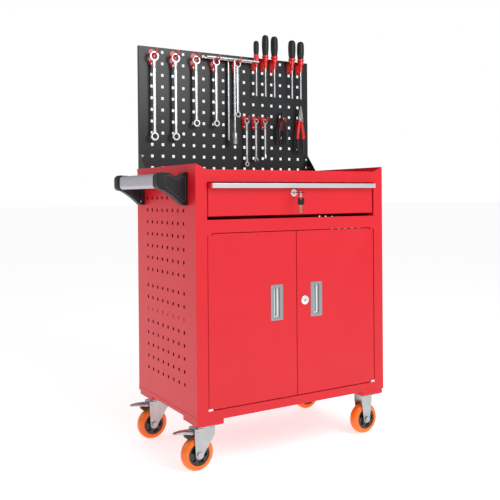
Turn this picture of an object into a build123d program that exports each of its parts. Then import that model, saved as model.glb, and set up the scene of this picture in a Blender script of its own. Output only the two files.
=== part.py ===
from build123d import *
import os

os.makedirs("parts", exist_ok=True)

# Rolling tool cabinet: work tray, one drawer, two doors, a perforated tool board, a push
# handle and four casters. Millimetres, +Z up, the front faces -Y, +X is to the right.
# The origin lies on the floor, under the centre of the whole outline.

# ---- driving dimensions ---------------------------------------------------------------
WIDTH = 690.0  # cabinet body, outer faces of the side panels
DEPTH = 430.0  # cabinet body, front frame face to back panel
HEIGHT = 735.0  # cabinet body, bottom edge to tray rim
SHEET = 1.2  # steel sheet
STILE = 36.5  # front frame upright
RAIL_DROP = 16.0  # front rail top below the rim
LIP_DEPTH = 26.0  # folded edge round each front opening
BOTTOM_RAIL = 27.0
DOOR_HEIGHT = 509.0  # door opening
MIDDLE_RAIL = 38.0
DRAWER_HEIGHT = 109.0  # drawer opening
TRAY_DEPTH = 40.0
RIM_PROUD = 0.8  # rim band and bottom hem stand this far out of the panels
RIM_BAND = 10.0
HEM_BAND = 12.0
PERF_HOLE = 9.5  # square holes
SIDE_PITCH = 38.0
SIDE_COLUMNS = 8
SIDE_FIRST_COLUMN = 80.0  # from the front face
SIDE_TOP_ROW = 97.0  # below the rim
SIDE_UPPER_ROWS = 7
SIDE_LOWER_ROWS = 8
SIDE_ROW_BREAK = 52.5
BOARD_RISE = 410.0  # tool board above the rim
BOARD_FLANGE = 12.0
BOARD_CLEAR = 5.0  # board and gussets above the tray floor
BOARD_PITCH = 39.0
BOARD_ROWS = 11
BOARD_HALF_COLUMNS = 8
BOARD_CENTRE_GAP = 47.0
BOARD_TOP_MARGIN = 15.0
GUSSET_RISE = 58.0
GUSSET_REACH = 50.0
GUSSET_SHEET = 1.5
GUSSET_FLANGE = 16.0
HANDLE_REACH = 94.0
HANDLE_BRACKET = 30.0  # bracket thickness along Y
HANDLE_FRONT = 50.0  # front bracket from the front face
HANDLE_REAR = 32.0  # rear bracket from the back face
HANDLE_CENTRE_DROP = 48.5  # grip centre below the rim
GRIP_WIDTH = 22.0
GRIP_HEIGHT = 42.0
GRIP_WALL = 2.0
CAP_WALL = 4.0
DOOR_GAP = 2.0
DOOR_DEPTH = 18.0
DOOR_RECESS = 1.0
PIVOT_IN = 8.5  # pivot axis from the door's hinge edge
PIVOT_BACK = 4.4  # pivot axis behind the door's front face
PIVOT_RADIUS = 3.0
BUSH_HEIGHT = 6.0
DRAWER_GAP = 3.5
DRAWER_LOW_GAP = 9.5
DRAWER_RECESS = 2.0
DRAWER_FRONT_DEPTH = 16.0
DRAWER_BOX_DEPTH = 380.0
DRAWER_BOX_HEIGHT = 78.0
SLIDE_WIDTH = 13.0
SLIDE_HEIGHT = 35.0
STRIP_REACH = 15.0  # pull strip in front of the frame face
STRIP_HEIGHT = 14.0
STRIP_SHEET = 2.0
KEY_REACH = 46.0  # key bow in front of the frame face
BOW_THICK = 2.4
BOW_HOLE = 5.4
BOW_RIM = 2.2  # between the bow's hole and its outer end
BOW_HALF_WIDTH = 10.0
BOW_LENGTH = 22.0
RING_RADIUS = 10.5
RING_WIRE = 0.8
RING_DROP = 7.5  # ring centre below the key bow
DRAWER_LOCK_X = 337.0  # from the left side panel
DRAWER_LOCK_DROP = 84.0  # below the rim
DOOR_LOCK_IN = 29.0  # from the middle of the doors
DOOR_LOCK_DROP = 415.5  # below the rim
PULL_WIDTH = 44.0
PULL_HEIGHT = 108.0
PULL_IN = 73.5  # pull centre from the middle of the doors
PULL_DEPTH = 12.0
RECESS_WIDTH = 20.0
RECESS_HEIGHT = 89.0
SHELF_HEIGHT = 285.0  # above the bottom edge
SHELF_FLANGE = 18.0
SHELF_SETBACK = 60.0
PAD_X = 84.0
PAD_Y = 96.0
PAD_HEIGHT = 15.0
PAD_INSET = 3.0
PAD_WALL = 3.0
PAD_LAND = 12.0  # edge of the pad that the caster plate is bolted against
CASTER_HEIGHT = 138.0  # floor to the top of the caster plate
PLATE_X = 76.0
PLATE_Y = 90.0
PLATE_THICK = 3.0
WHEEL_RADIUS = 50.0
CORE_RADIUS = 33.0
TYRE_WIDTH = 32.0
HUB_RADIUS = 11.0
HUB_WIDTH = 35.4
AXLE_RADIUS = 6.0
FORK_SHEET = 2.5
FORK_INSIDE = 36.0  # between the fork legs
CASTER_TRAIL = 22.0
RUNNING = 0.06  # radial clearance of shafts in their holes
BOLT_RADIUS = 3.0
BOLT_HOLE = 3.2
BOLT_HEAD = 6.0
BOLT_HEAD_HEIGHT = 3.0

# ---- places worked out from them ------------------------------------------------------
RIGHT_OVERHANG = max(RIM_PROUD, WHEEL_RADIUS - PAD_INSET - PAD_X / 2)
LEFT = (HANDLE_REACH - WIDTH - RIGHT_OVERHANG) / 2
RIGHT = LEFT + WIDTH
DIAGONAL = 0.5**0.5  # the key ring hangs at 45 degrees to the front
RING_ASIDE = (RING_RADIUS**2 - RING_DROP**2) ** 0.5  # ring centre from the bow's hole
HUNG_REACH = max(RING_RADIUS * DIAGONAL + RING_WIRE, (BOW_HALF_WIDTH + BOW_THICK / 2) * DIAGONAL)
KEYS_OVERHANG = KEY_REACH - BOW_HOLE - BOW_RIM + RING_ASIDE * DIAGONAL + HUNG_REACH
FRONT = (KEYS_OVERHANG - DEPTH - RIM_PROUD) / 2
BACK = FRONT + DEPTH
BOTTOM = CASTER_HEIGHT + PAD_HEIGHT
TOP = BOTTOM + HEIGHT
MIDDLE = (LEFT + RIGHT) / 2
TRAY_Z = TOP - TRAY_DEPTH
BOARD_TOP = TOP + BOARD_RISE
BOARD_LOW = TRAY_Z + SHEET + BOARD_CLEAR
BOARD_BACK = BACK - 2 * SHEET
BOARD_FRONT = BOARD_BACK - BOARD_FLANGE
OPEN_LEFT = LEFT + STILE
OPEN_RIGHT = RIGHT - STILE
DOOR_LOW = BOTTOM + BOTTOM_RAIL
DOOR_HIGH = DOOR_LOW + DOOR_HEIGHT
DRAWER_LOW = DOOR_HIGH + MIDDLE_RAIL
DRAWER_HIGH = DRAWER_LOW + DRAWER_HEIGHT
HANDLE_Z = TOP - HANDLE_CENTRE_DROP
GRIP_X = LEFT - HANDLE_REACH + CAP_WALL + GRIP_WIDTH / 2
BRACKET_FRONT_Y = (FRONT + HANDLE_FRONT, FRONT + HANDLE_FRONT + HANDLE_BRACKET)
BRACKET_REAR_Y = (BACK - HANDLE_REAR - HANDLE_BRACKET, BACK - HANDLE_REAR)


# ---- helpers --------------------------------------------------------------------------
def facing_front(y):
    """Sketch plane across the cabinet: sketch x is X, sketch y is Z, extrudes to -Y."""
    return Plane.XZ.offset(-y)


def facing_side(x):
    """Sketch plane along the cabinet: sketch x is Y, sketch y is Z, extrudes to +X."""
    return Plane.YZ.offset(x)


def level(z):
    """Horizontal sketch plane at a height."""
    return Plane.XY.offset(z)


def block(x, y, z, mode=Mode.ADD):
    """Box between two limits on each axis."""
    with Locations(((x[0] + x[1]) / 2, (y[0] + y[1]) / 2, (z[0] + z[1]) / 2)):
        Box(abs(x[1] - x[0]), abs(y[1] - y[0]), abs(z[1] - z[0]), mode=mode)


def bar(plane, at, radius, length, mode=Mode.ADD):
    """Round bar that starts on a sketch plane at a point and runs along its normal."""
    with Locations(plane * Pos(at[0], at[1], length / 2)):
        Cylinder(radius, abs(length), mode=mode)


def save(piece, name):
    """Label a finished piece and write its file."""
    piece.part.label = name
    export_step(piece.part, f"parts/{name}.step")


def column_x(column):
    """Place of a tool board column, counted from the left."""
    if column < BOARD_HALF_COLUMNS:
        return MIDDLE - BOARD_CENTRE_GAP / 2 - (BOARD_HALF_COLUMNS - 1 - column) * BOARD_PITCH
    return MIDDLE + BOARD_CENTRE_GAP / 2 + (column - BOARD_HALF_COLUMNS) * BOARD_PITCH


def row_z(row):
    """Height of a tool board row, counted down from the top."""
    return BOARD_TOP - BOARD_TOP_MARGIN - row * BOARD_PITCH


# ---- bolt places ----------------------------------------------------------------------
HANDLE_BOLT_Z = (HANDLE_Z - 56.0, HANDLE_Z - 8.0)
handle_bolts = [((y[0] + y[1]) / 2, z) for y in (BRACKET_FRONT_Y, BRACKET_REAR_Y) for z in HANDLE_BOLT_Z]
GUSSET_BOLT_IN = 9.0
gusset_board_bolts = [
    (x, z)
    for x in (LEFT + 2 * SHEET + GUSSET_BOLT_IN, RIGHT - 2 * SHEET - GUSSET_BOLT_IN)
    for z in (TOP + 12.0, TOP + 42.0)
]
gusset_side_bolts = [(BOARD_FRONT - reach, TOP - 18.0) for reach in (14.0, 38.0)]


# ---- cabinet body ---------------------------------------------------------------------
def side_panel(name, outer, outward, bolts):
    """Perforated side sheet with its bottom hem; bolts are the handle's bolt holes."""
    column_middle = FRONT + SIDE_FIRST_COLUMN + (SIDE_COLUMNS - 1) * SIDE_PITCH / 2
    upper_top = TOP - SIDE_TOP_ROW
    upper_middle = upper_top - (SIDE_UPPER_ROWS - 1) * SIDE_PITCH / 2
    lower_top = upper_top - (SIDE_UPPER_ROWS - 1) * SIDE_PITCH - SIDE_ROW_BREAK
    lower_middle = lower_top - (SIDE_LOWER_ROWS - 1) * SIDE_PITCH / 2
    with BuildPart() as panel:
        with BuildSketch(facing_side(outer)):
            with Locations(((FRONT + SHEET + BACK) / 2, (BOTTOM + TOP - SHEET) / 2)):
                Rectangle(BACK - FRONT - SHEET, TOP - SHEET - BOTTOM)
            with Locations((column_middle, upper_middle)):
                with GridLocations(SIDE_PITCH, SIDE_PITCH, SIDE_COLUMNS, SIDE_UPPER_ROWS):
                    Rectangle(PERF_HOLE, PERF_HOLE, mode=Mode.SUBTRACT)
            with Locations((column_middle, lower_middle)):
                with GridLocations(SIDE_PITCH, SIDE_PITCH, SIDE_COLUMNS, SIDE_LOWER_ROWS):
                    Rectangle(PERF_HOLE, PERF_HOLE, mode=Mode.SUBTRACT)
            if bolts:
                with Locations(*bolts):
                    Circle(BOLT_HOLE, mode=Mode.SUBTRACT)
        extrude(amount=-outward * SHEET)
        block((outer, outer + outward * RIM_PROUD), (FRONT + SHEET, BACK), (BOTTOM, BOTTOM + HEM_BAND))
    save(panel, name)


side_panel("left_side_panel", LEFT, -1, handle_bolts)
side_panel("right_side_panel", RIGHT, 1, [])

with BuildPart() as back_panel:
    block((LEFT + SHEET, RIGHT - SHEET), (BACK - SHEET, BACK), (BOTTOM, TOP - SHEET))
save(back_panel, "back_panel")

CASTER_SUPPORT = 110.0  # width of the folded edge that the casters bolt to
with BuildPart() as bottom_pan:
    inside_x = (LEFT + SHEET, RIGHT - SHEET)
    inside_y = (FRONT + LIP_DEPTH, BACK - SHEET)
    block(inside_x, inside_y, (BOTTOM, DOOR_LOW))
    block(
        (inside_x[0] + SHEET, inside_x[1] - SHEET),
        (inside_y[0] + SHEET, inside_y[1] - SHEET),
        (BOTTOM + SHEET, DOOR_LOW - SHEET),
        mode=Mode.SUBTRACT,
    )
    block(
        (inside_x[0] + CASTER_SUPPORT, inside_x[1] - CASTER_SUPPORT),
        (inside_y[0] + CASTER_SUPPORT, inside_y[1] - CASTER_SUPPORT),
        (BOTTOM, BOTTOM + SHEET),
        mode=Mode.SUBTRACT,
    )
save(bottom_pan, "bottom_pan")

with BuildPart() as front_frame:
    rail_top = TOP - RAIL_DROP
    lip_y = (FRONT, FRONT + LIP_DEPTH)
    with BuildSketch(facing_front(FRONT + SHEET)):
        with BuildLine():
            Polyline(
                (LEFT, BOTTOM),
                (RIGHT, BOTTOM),
                (RIGHT, TOP),
                (RIGHT - SHEET, TOP),
                (OPEN_RIGHT, rail_top),
                (OPEN_LEFT, rail_top),
                (LEFT + SHEET, TOP),
                (LEFT, TOP),
                close=True,
            )
        make_face()
    extrude(amount=SHEET)
    for low, high in ((DOOR_LOW, DOOR_HIGH), (DRAWER_LOW, DRAWER_HIGH)):
        block((OPEN_LEFT - SHEET, OPEN_RIGHT + SHEET), lip_y, (low - SHEET, high + SHEET))
    for low, high in ((DOOR_LOW, DOOR_HIGH), (DRAWER_LOW, DRAWER_HIGH)):
        block((OPEN_LEFT, OPEN_RIGHT), lip_y, (low, high), mode=Mode.SUBTRACT)
save(front_frame, "front_frame")

with BuildPart() as worktop_tray:
    tray_left = LEFT + SHEET
    tray_right = RIGHT - SHEET
    tray_front = FRONT + SHEET
    tray_back = BACK - SHEET
    block((tray_left, tray_right), (tray_front, tray_back), (TRAY_Z, TOP))
    block(
        (tray_left + SHEET, tray_right - SHEET),
        (tray_front + SHEET, tray_back - SHEET),
        (TRAY_Z + SHEET, TOP),
        mode=Mode.SUBTRACT,
    )
    block(
        (tray_left + SHEET, tray_right - SHEET),
        (tray_front, tray_front + SHEET),
        (rail_top, TOP),
        mode=Mode.SUBTRACT,
    )
    block((LEFT - RIM_PROUD, tray_left), (tray_front, BACK + RIM_PROUD), (TOP - SHEET, TOP))
    block((tray_right, RIGHT + RIM_PROUD), (tray_front, BACK + RIM_PROUD), (TOP - SHEET, TOP))
    block((LEFT - RIM_PROUD, RIGHT + RIM_PROUD), (tray_back, BACK + RIM_PROUD), (TOP - SHEET, TOP))
    block((LEFT - RIM_PROUD, LEFT), (tray_front, BACK + RIM_PROUD), (TOP - RIM_BAND, TOP))
    block((RIGHT, RIGHT + RIM_PROUD), (tray_front, BACK + RIM_PROUD), (TOP - RIM_BAND, TOP))
    block((LEFT - RIM_PROUD, RIGHT + RIM_PROUD), (BACK, BACK + RIM_PROUD), (TOP - RIM_BAND, TOP))
    for side_bolt in gusset_side_bolts:
        bar(facing_side(tray_left), side_bolt, BOLT_HOLE, SHEET, mode=Mode.SUBTRACT)
        bar(facing_side(tray_right - SHEET), side_bolt, BOLT_HOLE, SHEET, mode=Mode.SUBTRACT)
save(worktop_tray, "worktop_tray")

with BuildPart() as cupboard_shelf:
    shelf_z = BOTTOM + SHELF_HEIGHT
    shelf_y = (FRONT + SHELF_SETBACK, BACK - SHEET)
    block((LEFT + SHEET, RIGHT - SHEET), shelf_y, (shelf_z - SHELF_FLANGE, shelf_z))
    block(
        (LEFT + 2 * SHEET, RIGHT - 2 * SHEET),
        (shelf_y[0] + SHEET, shelf_y[1] - SHEET),
        (shelf_z - SHELF_FLANGE, shelf_z - SHEET),
        mode=Mode.SUBTRACT,
    )
save(cupboard_shelf, "cupboard_shelf")

# ---- tool board -----------------------------------------------------------------------
with BuildPart() as tool_board:
    board_x = (LEFT + 2 * SHEET, RIGHT - 2 * SHEET)
    block(board_x, (BOARD_FRONT, BOARD_BACK), (BOARD_LOW, BOARD_TOP))
    block(
        (board_x[0] + SHEET, board_x[1] - SHEET),
        (BOARD_FRONT + SHEET, BOARD_BACK),
        (BOARD_LOW + SHEET, BOARD_TOP - SHEET),
        mode=Mode.SUBTRACT,
    )
    with BuildSketch(facing_front(BOARD_FRONT + SHEET)):
        group_offset = BOARD_CENTRE_GAP / 2 + (BOARD_HALF_COLUMNS - 1) * BOARD_PITCH / 2
        with Locations(
            (MIDDLE - group_offset, row_z((BOARD_ROWS - 1) / 2)),
            (MIDDLE + group_offset, row_z((BOARD_ROWS - 1) / 2)),
        ):
            with GridLocations(BOARD_PITCH, BOARD_PITCH, BOARD_HALF_COLUMNS, BOARD_ROWS):
                Rectangle(PERF_HOLE, PERF_HOLE)
        with Locations(*gusset_board_bolts):
            Circle(BOLT_HOLE)
    extrude(amount=SHEET, mode=Mode.SUBTRACT)
save(tool_board, "tool_board")

with BuildPart() as board_gussets:
    for inner, inward in ((board_x[0], 1), (board_x[1], -1)):
        with BuildSketch(facing_side(inner)):
            with BuildLine():
                Polyline(
                    (BOARD_FRONT, BOARD_LOW),
                    (BOARD_FRONT, TOP + GUSSET_RISE),
                    (BOARD_FRONT - GUSSET_REACH, TOP),
                    (BOARD_FRONT - GUSSET_REACH, BOARD_LOW),
                    close=True,
                )
            make_face()
        extrude(amount=inward * GUSSET_SHEET)
        block(
            (inner, inner + inward * GUSSET_FLANGE),
            (BOARD_FRONT - GUSSET_SHEET, BOARD_FRONT),
            (BOARD_LOW, TOP + GUSSET_RISE),
        )
    with BuildSketch(facing_front(BOARD_FRONT)):
        with Locations(*gusset_board_bolts):
            Circle(BOLT_HOLE)
    extrude(amount=GUSSET_SHEET, mode=Mode.SUBTRACT)
    for side_bolt in gusset_side_bolts:
        bar(facing_side(board_x[0]), side_bolt, BOLT_HOLE, GUSSET_SHEET, mode=Mode.SUBTRACT)
        bar(facing_side(board_x[1] - GUSSET_SHEET), side_bolt, BOLT_HOLE, GUSSET_SHEET, mode=Mode.SUBTRACT)
save(board_gussets, "board_gussets")


# ---- pan-head bolts: handle, gussets to board, gussets to tray ------------------------
def bolt_profile(seat, head_height, shank):
    """Half section of a bolt on a plane's sketch: seat is the head's underside."""
    return [
        (0, seat + head_height),
        (BOLT_HEAD * 0.6, seat + head_height),
        (BOLT_HEAD, seat + head_height * 0.3),
        (BOLT_HEAD, seat),
        (BOLT_RADIUS, seat),
        (BOLT_RADIUS, seat - shank),
        (0, seat - shank),
    ]


def pan_head_bolt(shank):
    """Bolt along +Z with its head's underside at the origin."""
    with BuildPart(mode=Mode.PRIVATE) as bolt:
        with BuildSketch(Plane.XZ):
            with BuildLine():
                Polyline(*bolt_profile(0, BOLT_HEAD_HEIGHT, shank), close=True)
            make_face()
        revolve(axis=Axis.Z)
    return bolt.part


HANDLE_SHANK = SHEET + 12.0
BOARD_SHANK = GUSSET_SHEET + SHEET + 3.0
TRAY_SHANK = GUSSET_SHEET + SHEET
handle_bolt = pan_head_bolt(HANDLE_SHANK)
board_bolt = pan_head_bolt(BOARD_SHANK)
tray_bolt = pan_head_bolt(TRAY_SHANK)
with BuildPart() as pan_head_bolts:
    for bolt_y, bolt_z in handle_bolts:
        add(handle_bolt.moved(Location((LEFT + SHEET, bolt_y, bolt_z), (0, 90, 0))))
    for bolt_x, bolt_z in gusset_board_bolts:
        add(board_bolt.moved(Location((bolt_x, BOARD_FRONT - GUSSET_SHEET, bolt_z), (90, 0, 0))))
    for bolt_y, bolt_z in gusset_side_bolts:
        add(tray_bolt.moved(Location((board_x[0] + GUSSET_SHEET, bolt_y, bolt_z), (0, 90, 0))))
        add(tray_bolt.moved(Location((board_x[1] - GUSSET_SHEET, bolt_y, bolt_z), (0, -90, 0))))
save(pan_head_bolts, "pan_head_bolts")

# ---- push handle ----------------------------------------------------------------------
CAP_WIDTH = GRIP_WIDTH + 2 * CAP_WALL
CAP_HEIGHT = GRIP_HEIGHT + 2 * CAP_WALL
GRIP_SEAT = 15.0  # depth of the grip in each bracket
FOOT_LOW = HANDLE_Z - 70.5
FOOT_HIGH = HANDLE_Z + 25.0
CAP_TOP = HANDLE_Z + CAP_HEIGHT / 2 - 1.0
GRIP_CORNER = GRIP_WIDTH / 2 - 0.5
BRACKET_ROUND = 2.5
BRACKET_BOLT_DEPTH = 13.0
with BuildPart() as handle_brackets:
    for y in (BRACKET_FRONT_Y, BRACKET_REAR_Y):
        with BuildSketch(facing_front(y[1])):
            with BuildLine():
                foot = (LEFT - 15.0, FOOT_LOW)
                under_cap = (GRIP_X + 3.0, HANDLE_Z - CAP_HEIGHT / 2)
                Polyline(
                    foot,
                    (LEFT, FOOT_LOW),
                    (LEFT, FOOT_HIGH),
                    (LEFT - 9.0, FOOT_HIGH),
                    (LEFT - 30.0, HANDLE_Z + 9.5),
                    (LEFT - 58.0, CAP_TOP),
                    (GRIP_X, CAP_TOP),
                    under_cap,
                )
                SagittaArc(under_cap, foot, 3.0)
            make_face()
            with Locations((GRIP_X, HANDLE_Z)):
                RectangleRounded(CAP_WIDTH, CAP_HEIGHT, CAP_WIDTH / 2 - 0.5)
        extrude(amount=y[1] - y[0])
    outer_faces = faces().filter_by(Axis.Y)
    fillet(outer_faces.edges().filter_by(lambda edge: edge.center().X < LEFT - 1.0), BRACKET_ROUND)
    for seat_y in (BRACKET_FRONT_Y[1], BRACKET_REAR_Y[0] + GRIP_SEAT):
        with BuildSketch(facing_front(seat_y)):
            with Locations((GRIP_X, HANDLE_Z)):
                RectangleRounded(GRIP_WIDTH, GRIP_HEIGHT, GRIP_CORNER)
        extrude(amount=GRIP_SEAT, mode=Mode.SUBTRACT)
    for bolt in handle_bolts:
        bar(facing_side(LEFT), bolt, BOLT_HOLE, -BRACKET_BOLT_DEPTH, mode=Mode.SUBTRACT)
save(handle_brackets, "handle_brackets")

with BuildPart() as handle_grip:
    grip_front = BRACKET_FRONT_Y[1] - GRIP_SEAT
    grip_back = BRACKET_REAR_Y[0] + GRIP_SEAT
    with BuildSketch(facing_front(grip_back)):
        with Locations((GRIP_X, HANDLE_Z)):
            RectangleRounded(GRIP_WIDTH, GRIP_HEIGHT, GRIP_CORNER)
            offset(amount=-GRIP_WALL, mode=Mode.SUBTRACT)
    extrude(amount=grip_back - grip_front)
save(handle_grip, "handle_grip")

# ---- drawer ---------------------------------------------------------------------------
DRAWER_FACE = FRONT + DRAWER_RECESS
drawer_x = (OPEN_LEFT + DRAWER_GAP, OPEN_RIGHT - DRAWER_GAP)
drawer_z = (DRAWER_LOW + DRAWER_LOW_GAP, DRAWER_HIGH - DOOR_GAP)
DRAWER_PANEL_BACK = DRAWER_FACE + DRAWER_FRONT_DEPTH
LOCK_X = LEFT + DRAWER_LOCK_X
LOCK_Z = TOP - DRAWER_LOCK_DROP
BARREL_RADIUS = 9.0
BARREL_FLANGE = 11.5
PLUG_RADIUS = 6.0
KEYWAY = (8.2, 2.6)
KEYWAY_DEPTH = 14.0
CAM_SHEET = 2.0
CAM_BEHIND = FRONT + LIP_DEPTH + 1.0
lock_at = (LOCK_X, LOCK_Z)
barrel_hole = BARREL_RADIUS + 0.1

with BuildPart() as drawer_front:
    block(drawer_x, (DRAWER_FACE, DRAWER_PANEL_BACK), drawer_z)
    chamfer(faces().sort_by(Axis.Y)[0].edges(), 2.0)
    block(
        (drawer_x[0] + SHEET, drawer_x[1] - SHEET),
        (DRAWER_FACE + 2 * SHEET, DRAWER_PANEL_BACK),
        (drawer_z[0] + SHEET, drawer_z[1] - SHEET),
        mode=Mode.SUBTRACT,
    )
    bar(facing_front(DRAWER_PANEL_BACK), lock_at, barrel_hole, DRAWER_FRONT_DEPTH, mode=Mode.SUBTRACT)
save(drawer_front, "drawer_front")

box_x = (OPEN_LEFT + SLIDE_WIDTH, OPEN_RIGHT - SLIDE_WIDTH)
box_y = (DRAWER_PANEL_BACK, DRAWER_PANEL_BACK + DRAWER_BOX_DEPTH)
box_z = (drawer_z[0] + 2.5, drawer_z[0] + 2.5 + DRAWER_BOX_HEIGHT)
with BuildPart() as drawer_box:
    block(box_x, box_y, box_z)
    block(
        (box_x[0] + SHEET, box_x[1] - SHEET),
        (box_y[0] + SHEET, box_y[1] - SHEET),
        (box_z[0] + SHEET, box_z[1]),
        mode=Mode.SUBTRACT,
    )
    bar(facing_front(box_y[0] + SHEET), lock_at, barrel_hole, SHEET, mode=Mode.SUBTRACT)
save(drawer_box, "drawer_box")

strip_top = drawer_z[1] - 1.5
with BuildPart() as drawer_pull:
    pull_y = (FRONT - STRIP_REACH, DRAWER_FACE)
    block(drawer_x, pull_y, (strip_top - STRIP_HEIGHT, strip_top))
    block(
        drawer_x,
        (pull_y[0] + STRIP_SHEET, pull_y[1] - STRIP_SHEET),
        (strip_top - STRIP_HEIGHT, strip_top - STRIP_SHEET),
        mode=Mode.SUBTRACT,
    )
    fillet(edges().filter_by(Axis.X).group_by(Axis.Z)[-1].sort_by(Axis.Y)[0], 1.5)
save(drawer_pull, "drawer_pull")

SLIDE_WALL = 1.4
SLIDE_RUNNING = 0.3
slide_z = box_z[0] + DRAWER_BOX_HEIGHT / 2
slide_y = (DRAWER_PANEL_BACK + 1.0, BACK - SHEET)
with BuildPart() as drawer_slides_fixed:
    for web, inward in ((OPEN_LEFT, 1), (OPEN_RIGHT, -1)):
        high = SLIDE_HEIGHT / 2
        block((web, web + inward * 10.0), slide_y, (slide_z - high, slide_z + high))
        block(
            (web + inward * SLIDE_WALL, web + inward * 10.0),
            slide_y,
            (slide_z - high + SLIDE_WALL, slide_z + high - SLIDE_WALL),
            mode=Mode.SUBTRACT,
        )
save(drawer_slides_fixed, "drawer_slides_fixed")

with BuildPart() as drawer_slides_moving:
    for side, outward in ((box_x[0], -1), (box_x[1], 1)):
        high = SLIDE_HEIGHT / 2 - SLIDE_WALL - SLIDE_RUNNING
        run_y = (box_y[0] + 2.0, box_y[1])
        block((side, side + outward * (SLIDE_WIDTH - 2.4)), run_y, (slide_z - high, slide_z + high))
        block(
            (side + outward * SLIDE_WALL, side + outward * (SLIDE_WIDTH - 2.4)),
            run_y,
            (slide_z - high + SLIDE_WALL, slide_z + high - SLIDE_WALL),
            mode=Mode.SUBTRACT,
        )
save(drawer_slides_moving, "drawer_slides_moving")


# ---- locks ----------------------------------------------------------------------------
def lock_barrel(name, at, face, flange, flange_height, body, back):
    """Fixed barrel with a round bezel on the panel face, bored for its plug."""
    with BuildPart() as barrel:
        bar(facing_front(face), at, flange, flange_height)
        chamfer(faces().sort_by(Axis.Y)[0].edges(), 1.0)
        bar(facing_front(back), at, body, back - face)
        bar(facing_front(back), at, PLUG_RADIUS + RUNNING, back - face + flange_height, mode=Mode.SUBTRACT)
    save(barrel, name)


def lock_plug(name, at, face, back):
    """Turning plug with a level keyway in its face."""
    with BuildPart() as plug:
        bar(facing_front(back), at, PLUG_RADIUS, back - face)
        block(
            (at[0] - KEYWAY[0] / 2, at[0] + KEYWAY[0] / 2),
            (face, face + KEYWAY_DEPTH),
            (at[1] - KEYWAY[1] / 2, at[1] + KEYWAY[1] / 2),
            mode=Mode.SUBTRACT,
        )
    save(plug, name)


def lock_cam(name, at, front, tip, width):
    """Flat cam on the plug's rear end; tip is its reach from the plug axis along X and Z."""
    with BuildPart() as cam:
        with BuildSketch(facing_front(front + CAM_SHEET)):
            with Locations(at):
                Circle(width / 2 + 1.0)
            with Locations((at[0] + tip[0] / 2, at[1] + tip[1] / 2)):
                Rectangle(max(abs(tip[0]), width), max(abs(tip[1]), width))
        extrude(amount=CAM_SHEET)
    save(cam, name)


DRAWER_CAM_REACH = DRAWER_HIGH + 7.0 - LOCK_Z
LOCK_BEZEL = 3.0
CAM_WIDTH = 12.0
PLUG_PROUD = 0.5  # plug face in front of the bezel
lock_barrel(
    "drawer_lock_barrel",
    lock_at,
    DRAWER_FACE,
    flange=BARREL_FLANGE,
    flange_height=LOCK_BEZEL,
    body=BARREL_RADIUS,
    back=CAM_BEHIND - 1.0,
)
lock_plug("drawer_lock_plug", lock_at, DRAWER_FACE - LOCK_BEZEL - PLUG_PROUD, CAM_BEHIND)
lock_cam("drawer_lock_cam", lock_at, CAM_BEHIND, (DRAWER_CAM_REACH, 0), CAM_WIDTH)

BLADE = (8.0, 2.4)
BOW_CORNER = 5.0
bow_front = FRONT - KEY_REACH
bow_hole_y = bow_front + BOW_HOLE + BOW_RIM
with BuildPart() as drawer_key:
    with BuildSketch(level(LOCK_Z - BOW_THICK / 2)):
        with Locations((LOCK_X, bow_front + BOW_LENGTH / 2)):
            RectangleRounded(2 * BOW_HALF_WIDTH, BOW_LENGTH, BOW_CORNER)
        with Locations((LOCK_X, bow_hole_y)):
            Circle(BOW_HOLE, mode=Mode.SUBTRACT)
    extrude(amount=BOW_THICK)
    block(
        (LOCK_X - BLADE[0] / 2, LOCK_X + BLADE[0] / 2),
        (bow_front + BOW_LENGTH - 1.0, DRAWER_FACE - LOCK_BEZEL + 10.0),
        (LOCK_Z - BLADE[1] / 2, LOCK_Z + BLADE[1] / 2),
    )
save(drawer_key, "drawer_key")

ring_centre = Vector(LOCK_X - RING_ASIDE * DIAGONAL, bow_hole_y - RING_ASIDE * DIAGONAL, LOCK_Z - RING_DROP)
ring_plane = Plane(origin=ring_centre, x_dir=(1, 1, 0), z_dir=(1, -1, 0))
with BuildPart() as key_ring:
    with Locations(ring_plane.location):
        Torus(RING_RADIUS, RING_WIRE)
save(key_ring, "key_ring")

SPARE_HOLE = 2.6
SPARE_RIM = 1.6
SPARE_CLEAR = 0.6  # between the spare key's hole and the ring wire
SPARE_BLADE = (7.0, 26.0)
spare_drop = RING_RADIUS + SPARE_HOLE - RING_WIRE - SPARE_CLEAR
spare_plane = Plane(origin=ring_centre - Vector(0, 0, spare_drop), x_dir=(1, -1, 0), z_dir=(-1, -1, 0))
spare_bow_end = SPARE_HOLE + SPARE_RIM - BOW_LENGTH
with BuildPart() as spare_key:
    with BuildSketch(spare_plane.offset(-BOW_THICK / 2)):
        with Locations((0, spare_bow_end + BOW_LENGTH / 2)):
            RectangleRounded(2 * BOW_HALF_WIDTH, BOW_LENGTH, BOW_CORNER)
        Circle(SPARE_HOLE, mode=Mode.SUBTRACT)
    extrude(amount=BOW_THICK)
    with BuildSketch(spare_plane.offset(-1.0)):
        with Locations((0, spare_bow_end + 1.0 - SPARE_BLADE[1] / 2)):
            Rectangle(*SPARE_BLADE)
    extrude(amount=2.0)
save(spare_key, "spare_key")

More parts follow.
